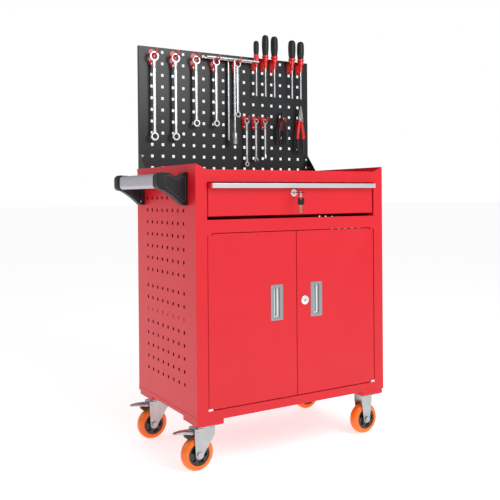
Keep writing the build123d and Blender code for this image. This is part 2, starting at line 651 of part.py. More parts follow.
# ---- doors ----------------------------------------------------------------------------
DOOR_FACE = FRONT + DOOR_RECESS
DOOR_BACK = DOOR_FACE + DOOR_DEPTH
PIVOT_Y = DOOR_FACE + PIVOT_BACK
NOTCH_LENGTH = 16.0
door_z = (DOOR_LOW + DOOR_GAP, DOOR_HIGH - DOOR_GAP)
NOTCH_HEIGHT = BUSH_HEIGHT - DOOR_GAP + 0.8
left_door_x = (OPEN_LEFT + DOOR_GAP, MIDDLE - DOOR_GAP / 2)
right_door_x = (MIDDLE + DOOR_GAP / 2, OPEN_RIGHT - DOOR_GAP)
left_pivot_x = left_door_x[0] + PIVOT_IN
right_pivot_x = right_door_x[1] - PIVOT_IN
DOOR_LOCK_Z = TOP - DOOR_LOCK_DROP
DOOR_LOCK_X = MIDDLE + DOOR_LOCK_IN
DOOR_BARREL = 11.0
CUP_WIDTH = PULL_WIDTH - 8.0
CUP_HEIGHT = PULL_HEIGHT - 8.0
CUP_CLEAR = 0.2
TAB_THICK = 2.0
TAB_LENGTH = 24.0
TAB_WIDTH = 12.0
PIN_LIFT = 0.5  # pin ends short of the folded edge under its bush
BUSH_ROUND = 4.6  # bush material round the pivot axis


def door_panel(name, x, hinge_side, pull_x, lock):
    """Folded door pan; hinge_side is -1 on the left; lock is the barrel hole's place or None."""
    hinge_edge = x[0] if hinge_side < 0 else x[1]
    notch_x = (hinge_edge, hinge_edge - hinge_side * NOTCH_LENGTH)
    with BuildPart() as door:
        block(x, (DOOR_FACE, DOOR_BACK), door_z)
        chamfer(faces().sort_by(Axis.Y)[0].edges(), 0.8)
        block(
            (x[0] + SHEET, x[1] - SHEET),
            (DOOR_FACE + SHEET, DOOR_BACK),
            (door_z[0] + SHEET, door_z[1] - SHEET),
            mode=Mode.SUBTRACT,
        )
        for z in ((door_z[0], door_z[0] + NOTCH_HEIGHT), (door_z[1] - NOTCH_HEIGHT, door_z[1])):
            block(notch_x, (DOOR_FACE, DOOR_BACK), z, mode=Mode.SUBTRACT)
        block(
            (pull_x - CUP_WIDTH / 2 - CUP_CLEAR, pull_x + CUP_WIDTH / 2 + CUP_CLEAR),
            (DOOR_FACE, DOOR_FACE + SHEET),
            (DOOR_LOCK_Z - CUP_HEIGHT / 2 - CUP_CLEAR, DOOR_LOCK_Z + CUP_HEIGHT / 2 + CUP_CLEAR),
            mode=Mode.SUBTRACT,
        )
        if lock:
            bar(facing_front(DOOR_FACE + SHEET), lock, DOOR_BARREL + 0.1, SHEET, mode=Mode.SUBTRACT)
    save(door, name)


def door_pull(name, pull_x, grip_side):
    """Flush pull: flange, cup and a finger recess undercut towards grip_side."""
    with BuildPart() as pull:
        flange_y = (DOOR_FACE - SHEET, DOOR_FACE)
        middle_z = DOOR_LOCK_Z
        block(
            (pull_x - PULL_WIDTH / 2, pull_x + PULL_WIDTH / 2),
            flange_y,
            (middle_z - PULL_HEIGHT / 2, middle_z + PULL_HEIGHT / 2),
        )
        fillet(edges().filter_by(Axis.Y), 3.0)
        block(
            (pull_x - CUP_WIDTH / 2, pull_x + CUP_WIDTH / 2),
            (DOOR_FACE, DOOR_FACE + PULL_DEPTH),
            (middle_z - CUP_HEIGHT / 2, middle_z + CUP_HEIGHT / 2),
        )
        block(
            (pull_x - RECESS_WIDTH / 2, pull_x + RECESS_WIDTH / 2),
            (flange_y[0], DOOR_FACE + PULL_DEPTH - SHEET),
            (middle_z - RECESS_HEIGHT / 2, middle_z + RECESS_HEIGHT / 2),
            mode=Mode.SUBTRACT,
        )
        block(
            (pull_x, pull_x + grip_side * (CUP_WIDTH / 2 - SHEET)),
            (DOOR_FACE + 3.0, DOOR_FACE + PULL_DEPTH - SHEET),
            (middle_z - RECESS_HEIGHT / 2, middle_z + RECESS_HEIGHT / 2),
            mode=Mode.SUBTRACT,
        )
    save(pull, name)


def door_pins(name, x, hinge_side, pivot_x):
    """Top and bottom pivot pins, each on a tab welded into the door's corner."""
    edge = x[0] + SHEET if hinge_side < 0 else x[1] - SHEET
    with BuildPart() as pins:
        low = door_z[0] + NOTCH_HEIGHT
        high = door_z[1] - NOTCH_HEIGHT
        tab_x = (edge, edge - hinge_side * TAB_LENGTH)
        tab_y = (DOOR_FACE + SHEET, DOOR_FACE + SHEET + TAB_WIDTH)
        block(tab_x, tab_y, (low, low + TAB_THICK))
        block(tab_x, tab_y, (high - TAB_THICK, high))
        for end, tab in ((DOOR_LOW + PIN_LIFT, low + TAB_THICK), (DOOR_HIGH - PIN_LIFT, high - TAB_THICK)):
            bar(level(end), (pivot_x, PIVOT_Y), PIVOT_RADIUS, tab - end)
    save(pins, name)


door_panel("left_door", left_door_x, -1, MIDDLE - PULL_IN, None)
door_panel("right_door", right_door_x, 1, MIDDLE + PULL_IN, (DOOR_LOCK_X, DOOR_LOCK_Z))
door_pull("left_door_pull", MIDDLE - PULL_IN, -1)
door_pull("right_door_pull", MIDDLE + PULL_IN, 1)
door_pins("left_door_pins", left_door_x, -1, left_pivot_x)
door_pins("right_door_pins", right_door_x, 1, right_pivot_x)

with BuildPart() as door_bushes:
    for stile, inward, pivot_x in ((OPEN_LEFT, 1, left_pivot_x), (OPEN_RIGHT, -1, right_pivot_x)):
        for z in ((DOOR_LOW, DOOR_LOW + BUSH_HEIGHT), (DOOR_HIGH - BUSH_HEIGHT, DOOR_HIGH)):
            block((stile, pivot_x + inward * BUSH_ROUND), (FRONT + 0.6, PIVOT_Y + BUSH_ROUND), z)
            bar(level(z[0]), (pivot_x, PIVOT_Y), PIVOT_RADIUS + RUNNING, BUSH_HEIGHT, mode=Mode.SUBTRACT)
save(door_bushes, "door_bushes")

DOOR_CAM_FRONT = DOOR_BACK + 1.5
DOOR_CAM_REACH = 45.0
DOOR_BEZEL = 4.0
door_lock_at = (DOOR_LOCK_X, DOOR_LOCK_Z)
lock_barrel(
    "door_lock_barrel",
    door_lock_at,
    DOOR_FACE,
    flange=14.0,
    flange_height=DOOR_BEZEL,
    body=DOOR_BARREL,
    back=DOOR_CAM_FRONT - 1.0,
)
lock_plug("door_lock_plug", door_lock_at, DOOR_FACE - DOOR_BEZEL - PLUG_PROUD, DOOR_CAM_FRONT)
lock_cam("door_lock_cam", door_lock_at, DOOR_CAM_FRONT, (0, -DOOR_CAM_REACH), CAM_WIDTH)

# ---- hooks on the tool board ----------------------------------------------------------
ARM_RADIUS = 2.5
ARM_LENGTH = 48.0
ARM_DROP = 27.0  # top hooks' arm below the board top
TIP_RISE = 14.0
SMALL_ARM_LENGTH = 36.0
SMALL_TIP_RISE = 11.0
HOOK_WIDTH = 22.0
HOOK_HEIGHT = 56.0
HOOK_SHEET = 1.5
LARGE_COLUMNS = (0, 2, 4, 6, 8)
SMALL_COLUMNS = (9, 10, 11)
PLIER_COLUMNS = (13, 15)
LOWER_ROW = 5.5  # lower hooks' arm, in rows from the top
HOLDER_COLUMNS = (10, 11, 12, 14, 15)
top_arm_z = BOARD_TOP - ARM_DROP
lower_arm_z = row_z(LOWER_ROW)


def board_hook(arm_length, tip_rise, width, height):
    """Hook at the origin: its plate's back on the XZ plane, its arm at the origin's height."""
    with BuildPart(mode=Mode.PRIVATE) as hook:
        with BuildSketch(Plane.XZ):
            with Locations((0, 19.0 - height / 2)):
                RectangleRounded(width, height, width / 2 - 1.0)
            with Locations((0, -BOARD_PITCH / 2 - 3.0)):
                Rectangle(PERF_HOLE, 12.0, mode=Mode.SUBTRACT)
        extrude(amount=HOOK_SHEET)
        with BuildLine():
            FilletPolyline((0, 0, 0), (0, -arm_length, 0), (0, -arm_length, tip_rise), radius=6.0)
        with BuildSketch(Plane.XZ):
            Circle(ARM_RADIUS)
        sweep()
    return hook.part


large_hook = board_hook(ARM_LENGTH, TIP_RISE, HOOK_WIDTH, HOOK_HEIGHT)
small_hook = board_hook(SMALL_ARM_LENGTH, SMALL_TIP_RISE, HOOK_WIDTH - 4.0, HOOK_HEIGHT - 8.0)
with BuildPart() as tool_hooks:
    for column in LARGE_COLUMNS:
        add(large_hook.moved(Location((column_x(column), BOARD_FRONT, top_arm_z))))
    for column in SMALL_COLUMNS + PLIER_COLUMNS:
        add(small_hook.moved(Location((column_x(column), BOARD_FRONT, lower_arm_z))))
save(tool_hooks, "tool_hooks")

HOLDER_BORE = 8.0
HOLDER_WALL = 2.2
HOLDER_TALL = 12.0
HOLDER_PLATE = 46.0
HOLDER_OUT = 22.0  # bore axis in front of the board
HOLDER_DROP = 3.0  # holder's top below the board top
holder_y = BOARD_FRONT - HOLDER_OUT
holder_top = BOARD_TOP - HOLDER_DROP
with BuildPart() as screwdriver_holders:
    for column in HOLDER_COLUMNS:
        x = column_x(column)
        plate_y = (BOARD_FRONT - HOOK_SHEET, BOARD_FRONT)
        neck_y = (holder_y + HOLDER_BORE, BOARD_FRONT)
        block((x - 9.0, x + 9.0), plate_y, (holder_top - HOLDER_PLATE, holder_top))
        block((x - 4.0, x + 4.0), neck_y, (holder_top - HOLDER_TALL, holder_top))
        bar(level(holder_top - HOLDER_TALL), (x, holder_y), HOLDER_BORE + HOLDER_WALL, HOLDER_TALL)
        bar(level(holder_top - HOLDER_TALL), (x, holder_y), HOLDER_BORE, HOLDER_TALL, mode=Mode.SUBTRACT)
save(screwdriver_holders, "screwdriver_holders")


# ---- hung tools -----------------------------------------------------------------------
def hung_spanner(x, arm_z, centres, big, small, thick, y):
    """Ring spanner hanging on a hook arm; big and small are its rings' (outer, bore) radii."""
    top = arm_z + ARM_RADIUS + 0.3 - big[1]
    with BuildPart(mode=Mode.PRIVATE) as spanner:
        with BuildSketch(facing_front(y + thick / 2)):
            with Locations((x, top - centres / 2)):
                Rectangle(small[0] * 0.9, centres)
            for ring, z in ((big, top), (small, top - centres)):
                with Locations((x, z)):
                    Circle(ring[0])
                    Circle(ring[1], mode=Mode.SUBTRACT)
        extrude(amount=thick)
    return spanner.part


SPANNER_OUT = 21.0
spanner_y = BOARD_FRONT - SPANNER_OUT
RING_SPANNERS = ((0, 267.0, 16.5), (2, 265.0, 16.0), (4, 217.0, 15.0), (6, 215.0, 14.0), (8, 180.0, 13.0))
with BuildPart() as ring_spanners:
    for column, centres, outer in RING_SPANNERS:
        rings = ((outer, outer * 0.66), (outer - 2.0, outer * 0.55))
        add(hung_spanner(column_x(column), top_arm_z, centres, *rings, 8.0, spanner_y))
save(ring_spanners, "ring_spanners")

SMALL_SPANNERS = ((9, 155.0, 10.5), (10, 139.0, 10.0), (11, 127.0, 9.5))
with BuildPart() as small_spanners:
    for column, centres, outer in SMALL_SPANNERS:
        rings = ((outer, outer * 0.62), (outer - 1.5, outer * 0.5))
        add(hung_spanner(column_x(column), lower_arm_z, centres, *rings, 6.0, spanner_y + 4.0))
save(small_spanners, "small_spanners")

BAR_RADIUS = 4.0
SOCKET_RADIUS = 9.0
SOCKET_LENGTH = 46.0
SHAFT_RADIUS = 3.6
BAR_LENGTH = 212.0
bar_z = top_arm_z + ARM_RADIUS + BAR_RADIUS + 0.3
bar_middle = (column_x(7) + column_x(8)) / 2
T_WRENCHES = ((4.0, 300.0, 33.5), (-8.0, 285.0, 10.5))  # shaft from the bar's middle, length, out
with BuildPart() as t_handle_wrenches:
    for aside, shaft_length, out in T_WRENCHES:
        wrench_y = BOARD_FRONT - out
        bar(facing_side(bar_middle - BAR_LENGTH / 2), (wrench_y, bar_z), BAR_RADIUS, BAR_LENGTH)
        shaft = (bar_middle + aside, wrench_y)
        bar(level(bar_z - shaft_length), shaft, SHAFT_RADIUS, shaft_length)
        if out > SPANNER_OUT:
            bar(level(bar_z - shaft_length), shaft, SOCKET_RADIUS, SOCKET_LENGTH)
save(t_handle_wrenches, "t_handle_wrenches")

HANDLE_BASE = holder_top + 0.3
COLLAR_LENGTH = 36.0
COLLAR_RADIUS = 6.5
SCREWDRIVER_BLADE = 3.0
BLADE_SEAT = 20.0  # blade inside the collar
BLADE_LENGTH = 142.0
DRIVER_HANDLES = ((10, 60.0, 10.5), (11, 85.0, 13.0), (12, 84.0, 14.0), (14, 78.0, 14.5), (15, 77.0, 14.0))
collar_low = HANDLE_BASE - COLLAR_LENGTH
with BuildPart() as screwdriver_handles:
    for column, length, radius in DRIVER_HANDLES:
        x = column_x(column)
        with BuildSketch(Plane(origin=(x, holder_y, HANDLE_BASE), x_dir=(1, 0, 0), z_dir=(0, -1, 0))):
            with BuildLine():
                Polyline(
                    (0, -COLLAR_LENGTH),
                    (COLLAR_RADIUS - 1.5, -COLLAR_LENGTH),
                    (COLLAR_RADIUS, -COLLAR_LENGTH + 6.0),
                    (COLLAR_RADIUS, 0),
                    (radius * 0.85, 0),
                    (radius * 0.72, 12.0),
                    (radius, length * 0.4),
                    (radius, length * 0.8),
                    (radius * 0.6, length),
                    (0, length),
                    close=True,
                )
            make_face()
        revolve(axis=Axis((x, holder_y, 0), (0, 0, 1)))
        bar(level(collar_low), (x, holder_y), SCREWDRIVER_BLADE, BLADE_SEAT, mode=Mode.SUBTRACT)
save(screwdriver_handles, "screwdriver_handles")

with BuildPart() as screwdriver_blades:
    for column in HOLDER_COLUMNS:
        blade_low = BOARD_TOP - BLADE_LENGTH
        blade_length = collar_low + BLADE_SEAT - blade_low
        bar(level(blade_low), (column_x(column), holder_y), SCREWDRIVER_BLADE, blade_length)
save(screwdriver_blades, "screwdriver_blades")

PLIER_THICK = 9.0
PLIER_JOINT = 9.0  # radius of the head round its rivet
GRIP_START = 12.0  # grips start this far below the rivet
GRIP_HALF = 5.0
PLIERS = ((13, 24.0, 96.0, 17.0), (15, 52.0, 128.0, 13.0))  # column, jaw, handle, half spread
plier_back = BOARD_FRONT - 14.0
joint_z = lower_arm_z + ARM_RADIUS + PLIER_JOINT + 0.3
with BuildPart() as pliers_heads:
    for column, jaw, _, _ in PLIERS:
        x = column_x(column)
        with BuildSketch(facing_front(plier_back)):
            with Locations((x, joint_z)):
                Circle(PLIER_JOINT)
            with BuildLine():
                Polyline(
                    (x - PLIER_JOINT, joint_z),
                    (x + PLIER_JOINT, joint_z),
                    (x + 4.0, joint_z + jaw),
                    (x - 4.0, joint_z + jaw),
                    close=True,
                )
            make_face()
        extrude(amount=PLIER_THICK)
save(pliers_heads, "pliers_heads")

with BuildPart() as pliers_grips:
    for column, _, handle, spread in PLIERS:
        for side in (-1, 1):
            x = column_x(column)
            neck = (x + side * (PLIER_JOINT + 1.0), joint_z)
            knee = (x + side * (PLIER_JOINT + spread), joint_z - handle * 0.45)
            end = (x + side * (PLIER_JOINT + spread * 0.8), joint_z - handle)
            with BuildSketch(facing_front(plier_back)):
                with BuildLine():
                    Polyline(
                        (neck[0] - side * 0.4, neck[1]),
                        (neck[0] + side * 7.0, neck[1] - 2.0),
                        (knee[0] + side * GRIP_HALF, knee[1]),
                        (end[0] + side * GRIP_HALF, end[1]),
                        (end[0] - side * GRIP_HALF, end[1]),
                        (knee[0] - side * GRIP_HALF, knee[1]),
                        close=True,
                    )
                make_face()
            extrude(amount=PLIER_THICK)
save(pliers_grips, "pliers_grips")

# ---- casters --------------------------------------------------------------------------
PAD_LEFT = LEFT + PAD_INSET + PAD_X / 2
PAD_RIGHT = RIGHT - PAD_INSET - PAD_X / 2
PAD_FRONT = FRONT + PAD_INSET + PAD_Y / 2
PAD_BACK = BACK - PAD_INSET - PAD_Y / 2
AXLE_Z = WHEEL_RADIUS
PLATE_LOW = CASTER_HEIGHT - PLATE_THICK
PLATE_POINTS_LEFT = ((PAD_LEFT, PAD_FRONT), (PAD_LEFT, PAD_BACK))
PLATE_POINTS_RIGHT = ((PAD_RIGHT, PAD_FRONT), (PAD_RIGHT, PAD_BACK))
CROWN_LOW = 122.0
CROWN_THICK = 3.0
RACE_RADIUS = 23.0
RACE_GAP = 0.3
KINGPIN_RADIUS = 5.0
NUT_RADIUS = 9.0
NUT_HEIGHT = 6.0
AXLE_HEAD = 5.0
POCKET_DEPTH = 6.0
TYRE_ROUND = 5.0
LEG_OUTER = FORK_INSIDE / 2 + FORK_SHEET
LEG_END = 13.0  # radius of the leg round the axle

with BuildPart() as caster_pads:
    for x, y in PLATE_POINTS_LEFT + PLATE_POINTS_RIGHT:
        block((x - PAD_X / 2, x + PAD_X / 2), (y - PAD_Y / 2, y + PAD_Y / 2), (CASTER_HEIGHT, BOTTOM))
        block(
            (x - PAD_X / 2 + PAD_LAND, x + PAD_X / 2 - PAD_LAND),
            (y - PAD_Y / 2 + PAD_LAND, y + PAD_Y / 2 - PAD_LAND),
            (CASTER_HEIGHT, BOTTOM - PAD_WALL),
            mode=Mode.SUBTRACT,
        )
save(caster_pads, "caster_pads")


def caster_plate(x, y):
    """Mounting plate against a caster pad, added to the part."""
    block((x - PLATE_X / 2, x + PLATE_X / 2), (y - PLATE_Y / 2, y + PLATE_Y / 2), (PLATE_LOW, CASTER_HEIGHT))


with BuildPart() as swivel_plates:
    for x, y in PLATE_POINTS_LEFT:
        caster_plate(x, y)
        race_low = CROWN_LOW + CROWN_THICK + RACE_GAP
        bar(level(race_low), (x, y), RACE_RADIUS, PLATE_LOW - race_low)
        pin_low = CROWN_LOW - RACE_GAP - NUT_HEIGHT
        bar(level(pin_low), (x, y), KINGPIN_RADIUS, PLATE_LOW - pin_low)
        bar(level(pin_low), (x, y), NUT_RADIUS, NUT_HEIGHT)
save(swivel_plates, "swivel_plates")


def fork_legs(kingpin, axle_x, top, top_width):
    """Two fork legs that taper from under the crown down round the axle, added to the part."""
    x, y = kingpin
    for inner, outward in ((y - FORK_INSIDE / 2, 1), (y + FORK_INSIDE / 2, -1)):
        with BuildSketch(facing_front(inner)) as leg:
            with BuildLine():
                Polyline(
                    (x - top_width[0], top),
                    (x + top_width[1], top),
                    (x + top_width[1], top - 22.0),
                    (axle_x + LEG_END, AXLE_Z),
                    (axle_x - LEG_END, AXLE_Z),
                    (x - top_width[0], top - 22.0),
                    close=True,
                )
            make_face()
            with Locations((axle_x, AXLE_Z)):
                Circle(LEG_END)
                Circle(AXLE_RADIUS + RUNNING, mode=Mode.SUBTRACT)
        extrude(leg.sketch, amount=outward * FORK_SHEET)


def axle_bolt(name, axles):
    """Axle bolts with a head and a nut outside the fork legs."""
    with BuildPart() as bolts:
        for x, y in axles:
            half_length = LEG_OUTER + AXLE_HEAD
            bar(facing_front(y + half_length), (x, AXLE_Z), AXLE_RADIUS, 2 * half_length)
            for start in (y - LEG_OUTER, y + half_length):
                with BuildSketch(facing_front(start)):
                    with Locations((x, AXLE_Z)):
                        RegularPolygon(9.5, 6)
                extrude(amount=AXLE_HEAD)
    save(bolts, name)


def wheel(name, x, y):
    """Wheel core with its hub and lightening pockets, and the tyre round it."""
    with BuildPart() as core:
        core_width = TYRE_WIDTH - 6.0
        bar(facing_front(y + core_width / 2), (x, AXLE_Z), CORE_RADIUS, core_width)
        for start in (y + core_width / 2, y - core_width / 2 + POCKET_DEPTH):
            with BuildSketch(facing_front(start)):
                with Locations((x, AXLE_Z)):
                    with PolarLocations(21.5, 5):
                        SlotCenterToCenter(7.0, 11.0, rotation=90)
            extrude(amount=POCKET_DEPTH, mode=Mode.SUBTRACT)
        hub_plane = facing_front(y + HUB_WIDTH / 2)
        bar(hub_plane, (x, AXLE_Z), HUB_RADIUS, HUB_WIDTH)
        bar(hub_plane, (x, AXLE_Z), AXLE_RADIUS + RUNNING, HUB_WIDTH, mode=Mode.SUBTRACT)
    save(core, f"{name}_wheel_core")
    with BuildPart() as tyre:
        bar(facing_front(y + TYRE_WIDTH / 2), (x, AXLE_Z), WHEEL_RADIUS, TYRE_WIDTH)
        fillet(edges().filter_by(GeomType.CIRCLE), TYRE_ROUND)
        bar(facing_front(y + TYRE_WIDTH / 2), (x, AXLE_Z), CORE_RADIUS, TYRE_WIDTH, mode=Mode.SUBTRACT)
    save(tyre, f"{name}_tyre")


PEDAL_PIVOT = (-29.0, 114.0)  # from the kingpin, and above the floor
PEDAL_PIN = 3.0
PEDAL_TIP = 97.0  # pedal end from the kingpin
PEDAL_HALF = 15.0
SHOE_LOW = 98.0
FORK_BACK = 38.0  # crown behind the kingpin, over the wheel
FORK_AHEAD = 28.0
RIGID_HALF = 21.0


def swivel_caster(name, kingpin):
    """Swivelling fork with its axle bolt, wheel and brake pedal."""
    x, y = kingpin
    axle_x = x - CASTER_TRAIL
    crown_top = CROWN_LOW + CROWN_THICK
    pivot_x = x + PEDAL_PIVOT[0]
    pedal_axis = (pivot_x, PEDAL_PIVOT[1])
    with BuildPart() as fork:
        block((x - FORK_BACK, x + FORK_AHEAD), (y - LEG_OUTER, y + LEG_OUTER), (CROWN_LOW, crown_top))
        fork_legs(kingpin, axle_x, crown_top, (FORK_BACK, FORK_AHEAD))
        bar(level(CROWN_LOW), kingpin, KINGPIN_RADIUS + RUNNING, CROWN_THICK, mode=Mode.SUBTRACT)
        bar(facing_front(y + LEG_OUTER), pedal_axis, PEDAL_PIN + RUNNING, 2 * LEG_OUTER, mode=Mode.SUBTRACT)
    save(fork, f"{name}_fork")
    axle_bolt(f"{name}_axle", [(axle_x, y)])
    wheel(name, axle_x, y)
    with BuildPart() as pedal:
        with BuildSketch(facing_front(y + PEDAL_HALF)):
            with BuildLine():
                Polyline(
                    (pivot_x + 5.0, PEDAL_PIVOT[1] - 4.0),
                    (pivot_x + 5.0, PEDAL_PIVOT[1] + 6.5),
                    (x - 44.0, PEDAL_PIVOT[1] + 8.5),
                    (x - PEDAL_TIP, PEDAL_PIVOT[1] + 5.0),
                    (x - PEDAL_TIP, PEDAL_PIVOT[1] + 3.0),
                    (x - 52.0, PEDAL_PIVOT[1] - 1.0),
                    (x - 52.0, SHOE_LOW),
                    (x - 44.0, SHOE_LOW),
                    (x - 40.0, PEDAL_PIVOT[1] - 4.0),
                    close=True,
                )
            make_face()
        extrude(amount=2 * PEDAL_HALF)
        bar(facing_front(y + LEG_OUTER), pedal_axis, PEDAL_PIN, 2 * LEG_OUTER)
    save(pedal, f"{name}_brake_pedal")


swivel_caster("front_swivel", PLATE_POINTS_LEFT[0])
swivel_caster("rear_swivel", PLATE_POINTS_LEFT[1])

with BuildPart() as rigid_forks:
    for point in PLATE_POINTS_RIGHT:
        caster_plate(*point)
        fork_legs(point, point[0], PLATE_LOW, (RIGID_HALF, RIGID_HALF))
save(rigid_forks, "rigid_forks")
axle_bolt("rigid_axles", PLATE_POINTS_RIGHT)
wheel("front_rigid", *PLATE_POINTS_RIGHT[0])
wheel("rear_rigid", *PLATE_POINTS_RIGHT[1])
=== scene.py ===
"""Looks of a rolling tool cabinet: its finishes, folded sheets, handle, locks, casters and hung tools.

Lengths are in metres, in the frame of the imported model: +Z is up and the front faces -Y.
"""

import logging
import math
from collections.abc import Callable, Iterable, Sequence
from dataclasses import dataclass
from enum import Enum

import bmesh
import bpy
from mathutils import Matrix, Vector


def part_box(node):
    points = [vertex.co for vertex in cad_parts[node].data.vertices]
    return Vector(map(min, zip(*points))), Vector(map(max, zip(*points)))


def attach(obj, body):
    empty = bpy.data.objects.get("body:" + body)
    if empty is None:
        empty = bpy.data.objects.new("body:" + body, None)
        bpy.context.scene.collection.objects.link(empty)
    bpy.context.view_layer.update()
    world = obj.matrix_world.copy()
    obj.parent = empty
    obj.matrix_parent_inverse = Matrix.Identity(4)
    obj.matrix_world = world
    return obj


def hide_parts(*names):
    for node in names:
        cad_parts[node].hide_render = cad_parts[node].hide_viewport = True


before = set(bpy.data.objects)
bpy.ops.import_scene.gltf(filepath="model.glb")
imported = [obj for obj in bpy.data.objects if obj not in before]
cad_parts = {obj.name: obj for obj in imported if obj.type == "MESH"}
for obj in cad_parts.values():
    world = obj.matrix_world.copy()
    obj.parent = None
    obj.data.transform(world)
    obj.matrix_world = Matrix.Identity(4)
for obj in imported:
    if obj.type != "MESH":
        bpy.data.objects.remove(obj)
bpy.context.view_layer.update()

LOG = logging.getLogger("tool_cabinet")
MM = 0.001
Triple = tuple[float, float, float]


# ---- shader groups ------------------------------------------------------------------------
class Graph:
    """Writes nodes and links into one node tree."""

    def __init__(self, tree: bpy.types.NodeTree) -> None:
        """Take the tree to write in.

        Args:
            tree: A shader or geometry node tree.
        """
        self.tree = tree

    def add(self, kind: str, inputs: dict[str, object] | None = None, **settings: object) -> bpy.types.Node:
        """Add a node.

        Args:
            kind: The node's type.
            inputs: Socket names with a value, or with the socket that feeds them.
            settings: Attributes set on the node itself.

        Returns:
            The new node.
        """
        node = self.tree.nodes.new(kind)
        for key, value in settings.items():
            setattr(node, key, value)
        for key, value in (inputs or {}).items():
            socket = node.inputs[int(key)] if key.isdigit() else node.inputs[key]
            if isinstance(value, bpy.types.NodeSocket):
                self.tree.links.new(value, socket)
            else:
                socket.default_value = value
        return node

    def math(self, operation: str, first: object, second: object = 0.0) -> bpy.types.NodeSocket:
        """Add a Math node and return its result."""
        return self.add("ShaderNodeMath", {"0": first, "1": second}, operation=operation).outputs[0]


def open_group(name: str, kind: str, inputs: dict[str, str], outputs: dict[str, str]) -> tuple[Graph, dict]:
    """Start a node group with named sockets.

    Args:
        name: The group's name.
        kind: The tree type.
        inputs: Input names with their socket types.
        outputs: Output names with their socket types.

    Returns:
        The group's graph, and its input sockets by name.
    """
    tree = bpy.data.node_groups.new(name, kind)
    for label, socket_type in inputs.items():
        tree.interface.new_socket(label, in_out="INPUT", socket_type=socket_type)
    for label, socket_type in outputs.items():
        tree.interface.new_socket(label, in_out="OUTPUT", socket_type=socket_type)
    entry = tree.nodes.new("NodeGroupInput")
    return Graph(tree), {label: entry.outputs[label] for label in inputs}


FLOAT, COLOR, VECTOR = "NodeSocketFloat", "NodeSocketColor", "NodeSocketVector"


def mottle_group() -> bpy.types.NodeTree:
    """Slow change between two near tones, with its mask."""
    graph, given = open_group(
        "mottle",
        "ShaderNodeTree",
        {"Vector": VECTOR, "Tone": COLOR, "Second Tone": COLOR, "Scale": FLOAT, "Amount": FLOAT},
        {"Color": COLOR, "Mask": FLOAT},
    )
    noise = graph.add("ShaderNodeTexNoise", {"Vector": given["Vector"], "Scale": given["Scale"], "Detail": 4.0})
    spread = graph.add("ShaderNodeMapRange", {"Value": noise.outputs["Fac"], "From Min": 0.3, "From Max": 0.7})
    mask = graph.math("MULTIPLY", spread.outputs["Result"], given["Amount"])
    mix = graph.add("ShaderNodeMix", {"0": mask, "6": given["Tone"], "7": given["Second Tone"]}, data_type="RGBA")
    graph.add("NodeGroupOutput", {"Color": mix.outputs[2], "Mask": mask})
    return graph.tree


def grain_group() -> bpy.types.NodeTree:
    """Fine surface relief, with the roughness that goes with it."""
    graph, given = open_group(
        "grain",
        "ShaderNodeTree",
        {"Vector": VECTOR, "Scale": FLOAT, "Depth": FLOAT, "Roughness": FLOAT, "Spread": FLOAT},
        {"Normal": VECTOR, "Roughness": FLOAT},
    )
    noise = graph.add("ShaderNodeTexNoise", {"Vector": given["Vector"], "Scale": given["Scale"], "Detail": 3.0})
    bump = graph.add("ShaderNodeBump", {"Height": noise.outputs["Fac"], "Distance": given["Depth"], "Strength": 1.0})
    centred = graph.math("SUBTRACT", noise.outputs["Fac"], 0.5)
    shift = graph.math("MULTIPLY", centred, given["Spread"])
    rough = graph.math("ADD", shift, given["Roughness"])
    graph.add("NodeGroupOutput", {"Normal": bump.outputs["Normal"], "Roughness": rough})
    return graph.tree


def scuff_group() -> bpy.types.NodeTree:
    """Sparse handling marks: a mask of short thin scratches and spots."""
    graph, given = open_group(
        "scuffs", "ShaderNodeTree", {"Vector": VECTOR, "Scale": FLOAT, "Amount": FLOAT}, {"Mask": FLOAT}
    )
    stretched = graph.add("ShaderNodeMapping", {"Vector": given["Vector"], "Scale": (1.0, 1.0, 0.16)})
    cells = graph.add(
        "ShaderNodeTexVoronoi",
        {"Vector": stretched.outputs[0], "Scale": given["Scale"]},
        feature="DISTANCE_TO_EDGE",
    )
    lines = graph.add(
        "ShaderNodeMapRange",
        {"Value": cells.outputs["Distance"], "From Min": 0.0, "From Max": 0.03, "To Min": 1.0, "To Max": 0.0},
    )
    patches = graph.add("ShaderNodeTexNoise", {"Vector": given["Vector"], "Scale": given["Scale"], "Detail": 2.0})
    sparse = graph.add("ShaderNodeMapRange", {"Value": patches.outputs["Fac"], "From Min": 0.56, "From Max": 0.7})
    mask = graph.math("MULTIPLY", lines.outputs["Result"], sparse.outputs["Result"])
    graph.add("NodeGroupOutput", {"Mask": graph.math("MULTIPLY", mask, given["Amount"])})
    return graph.tree


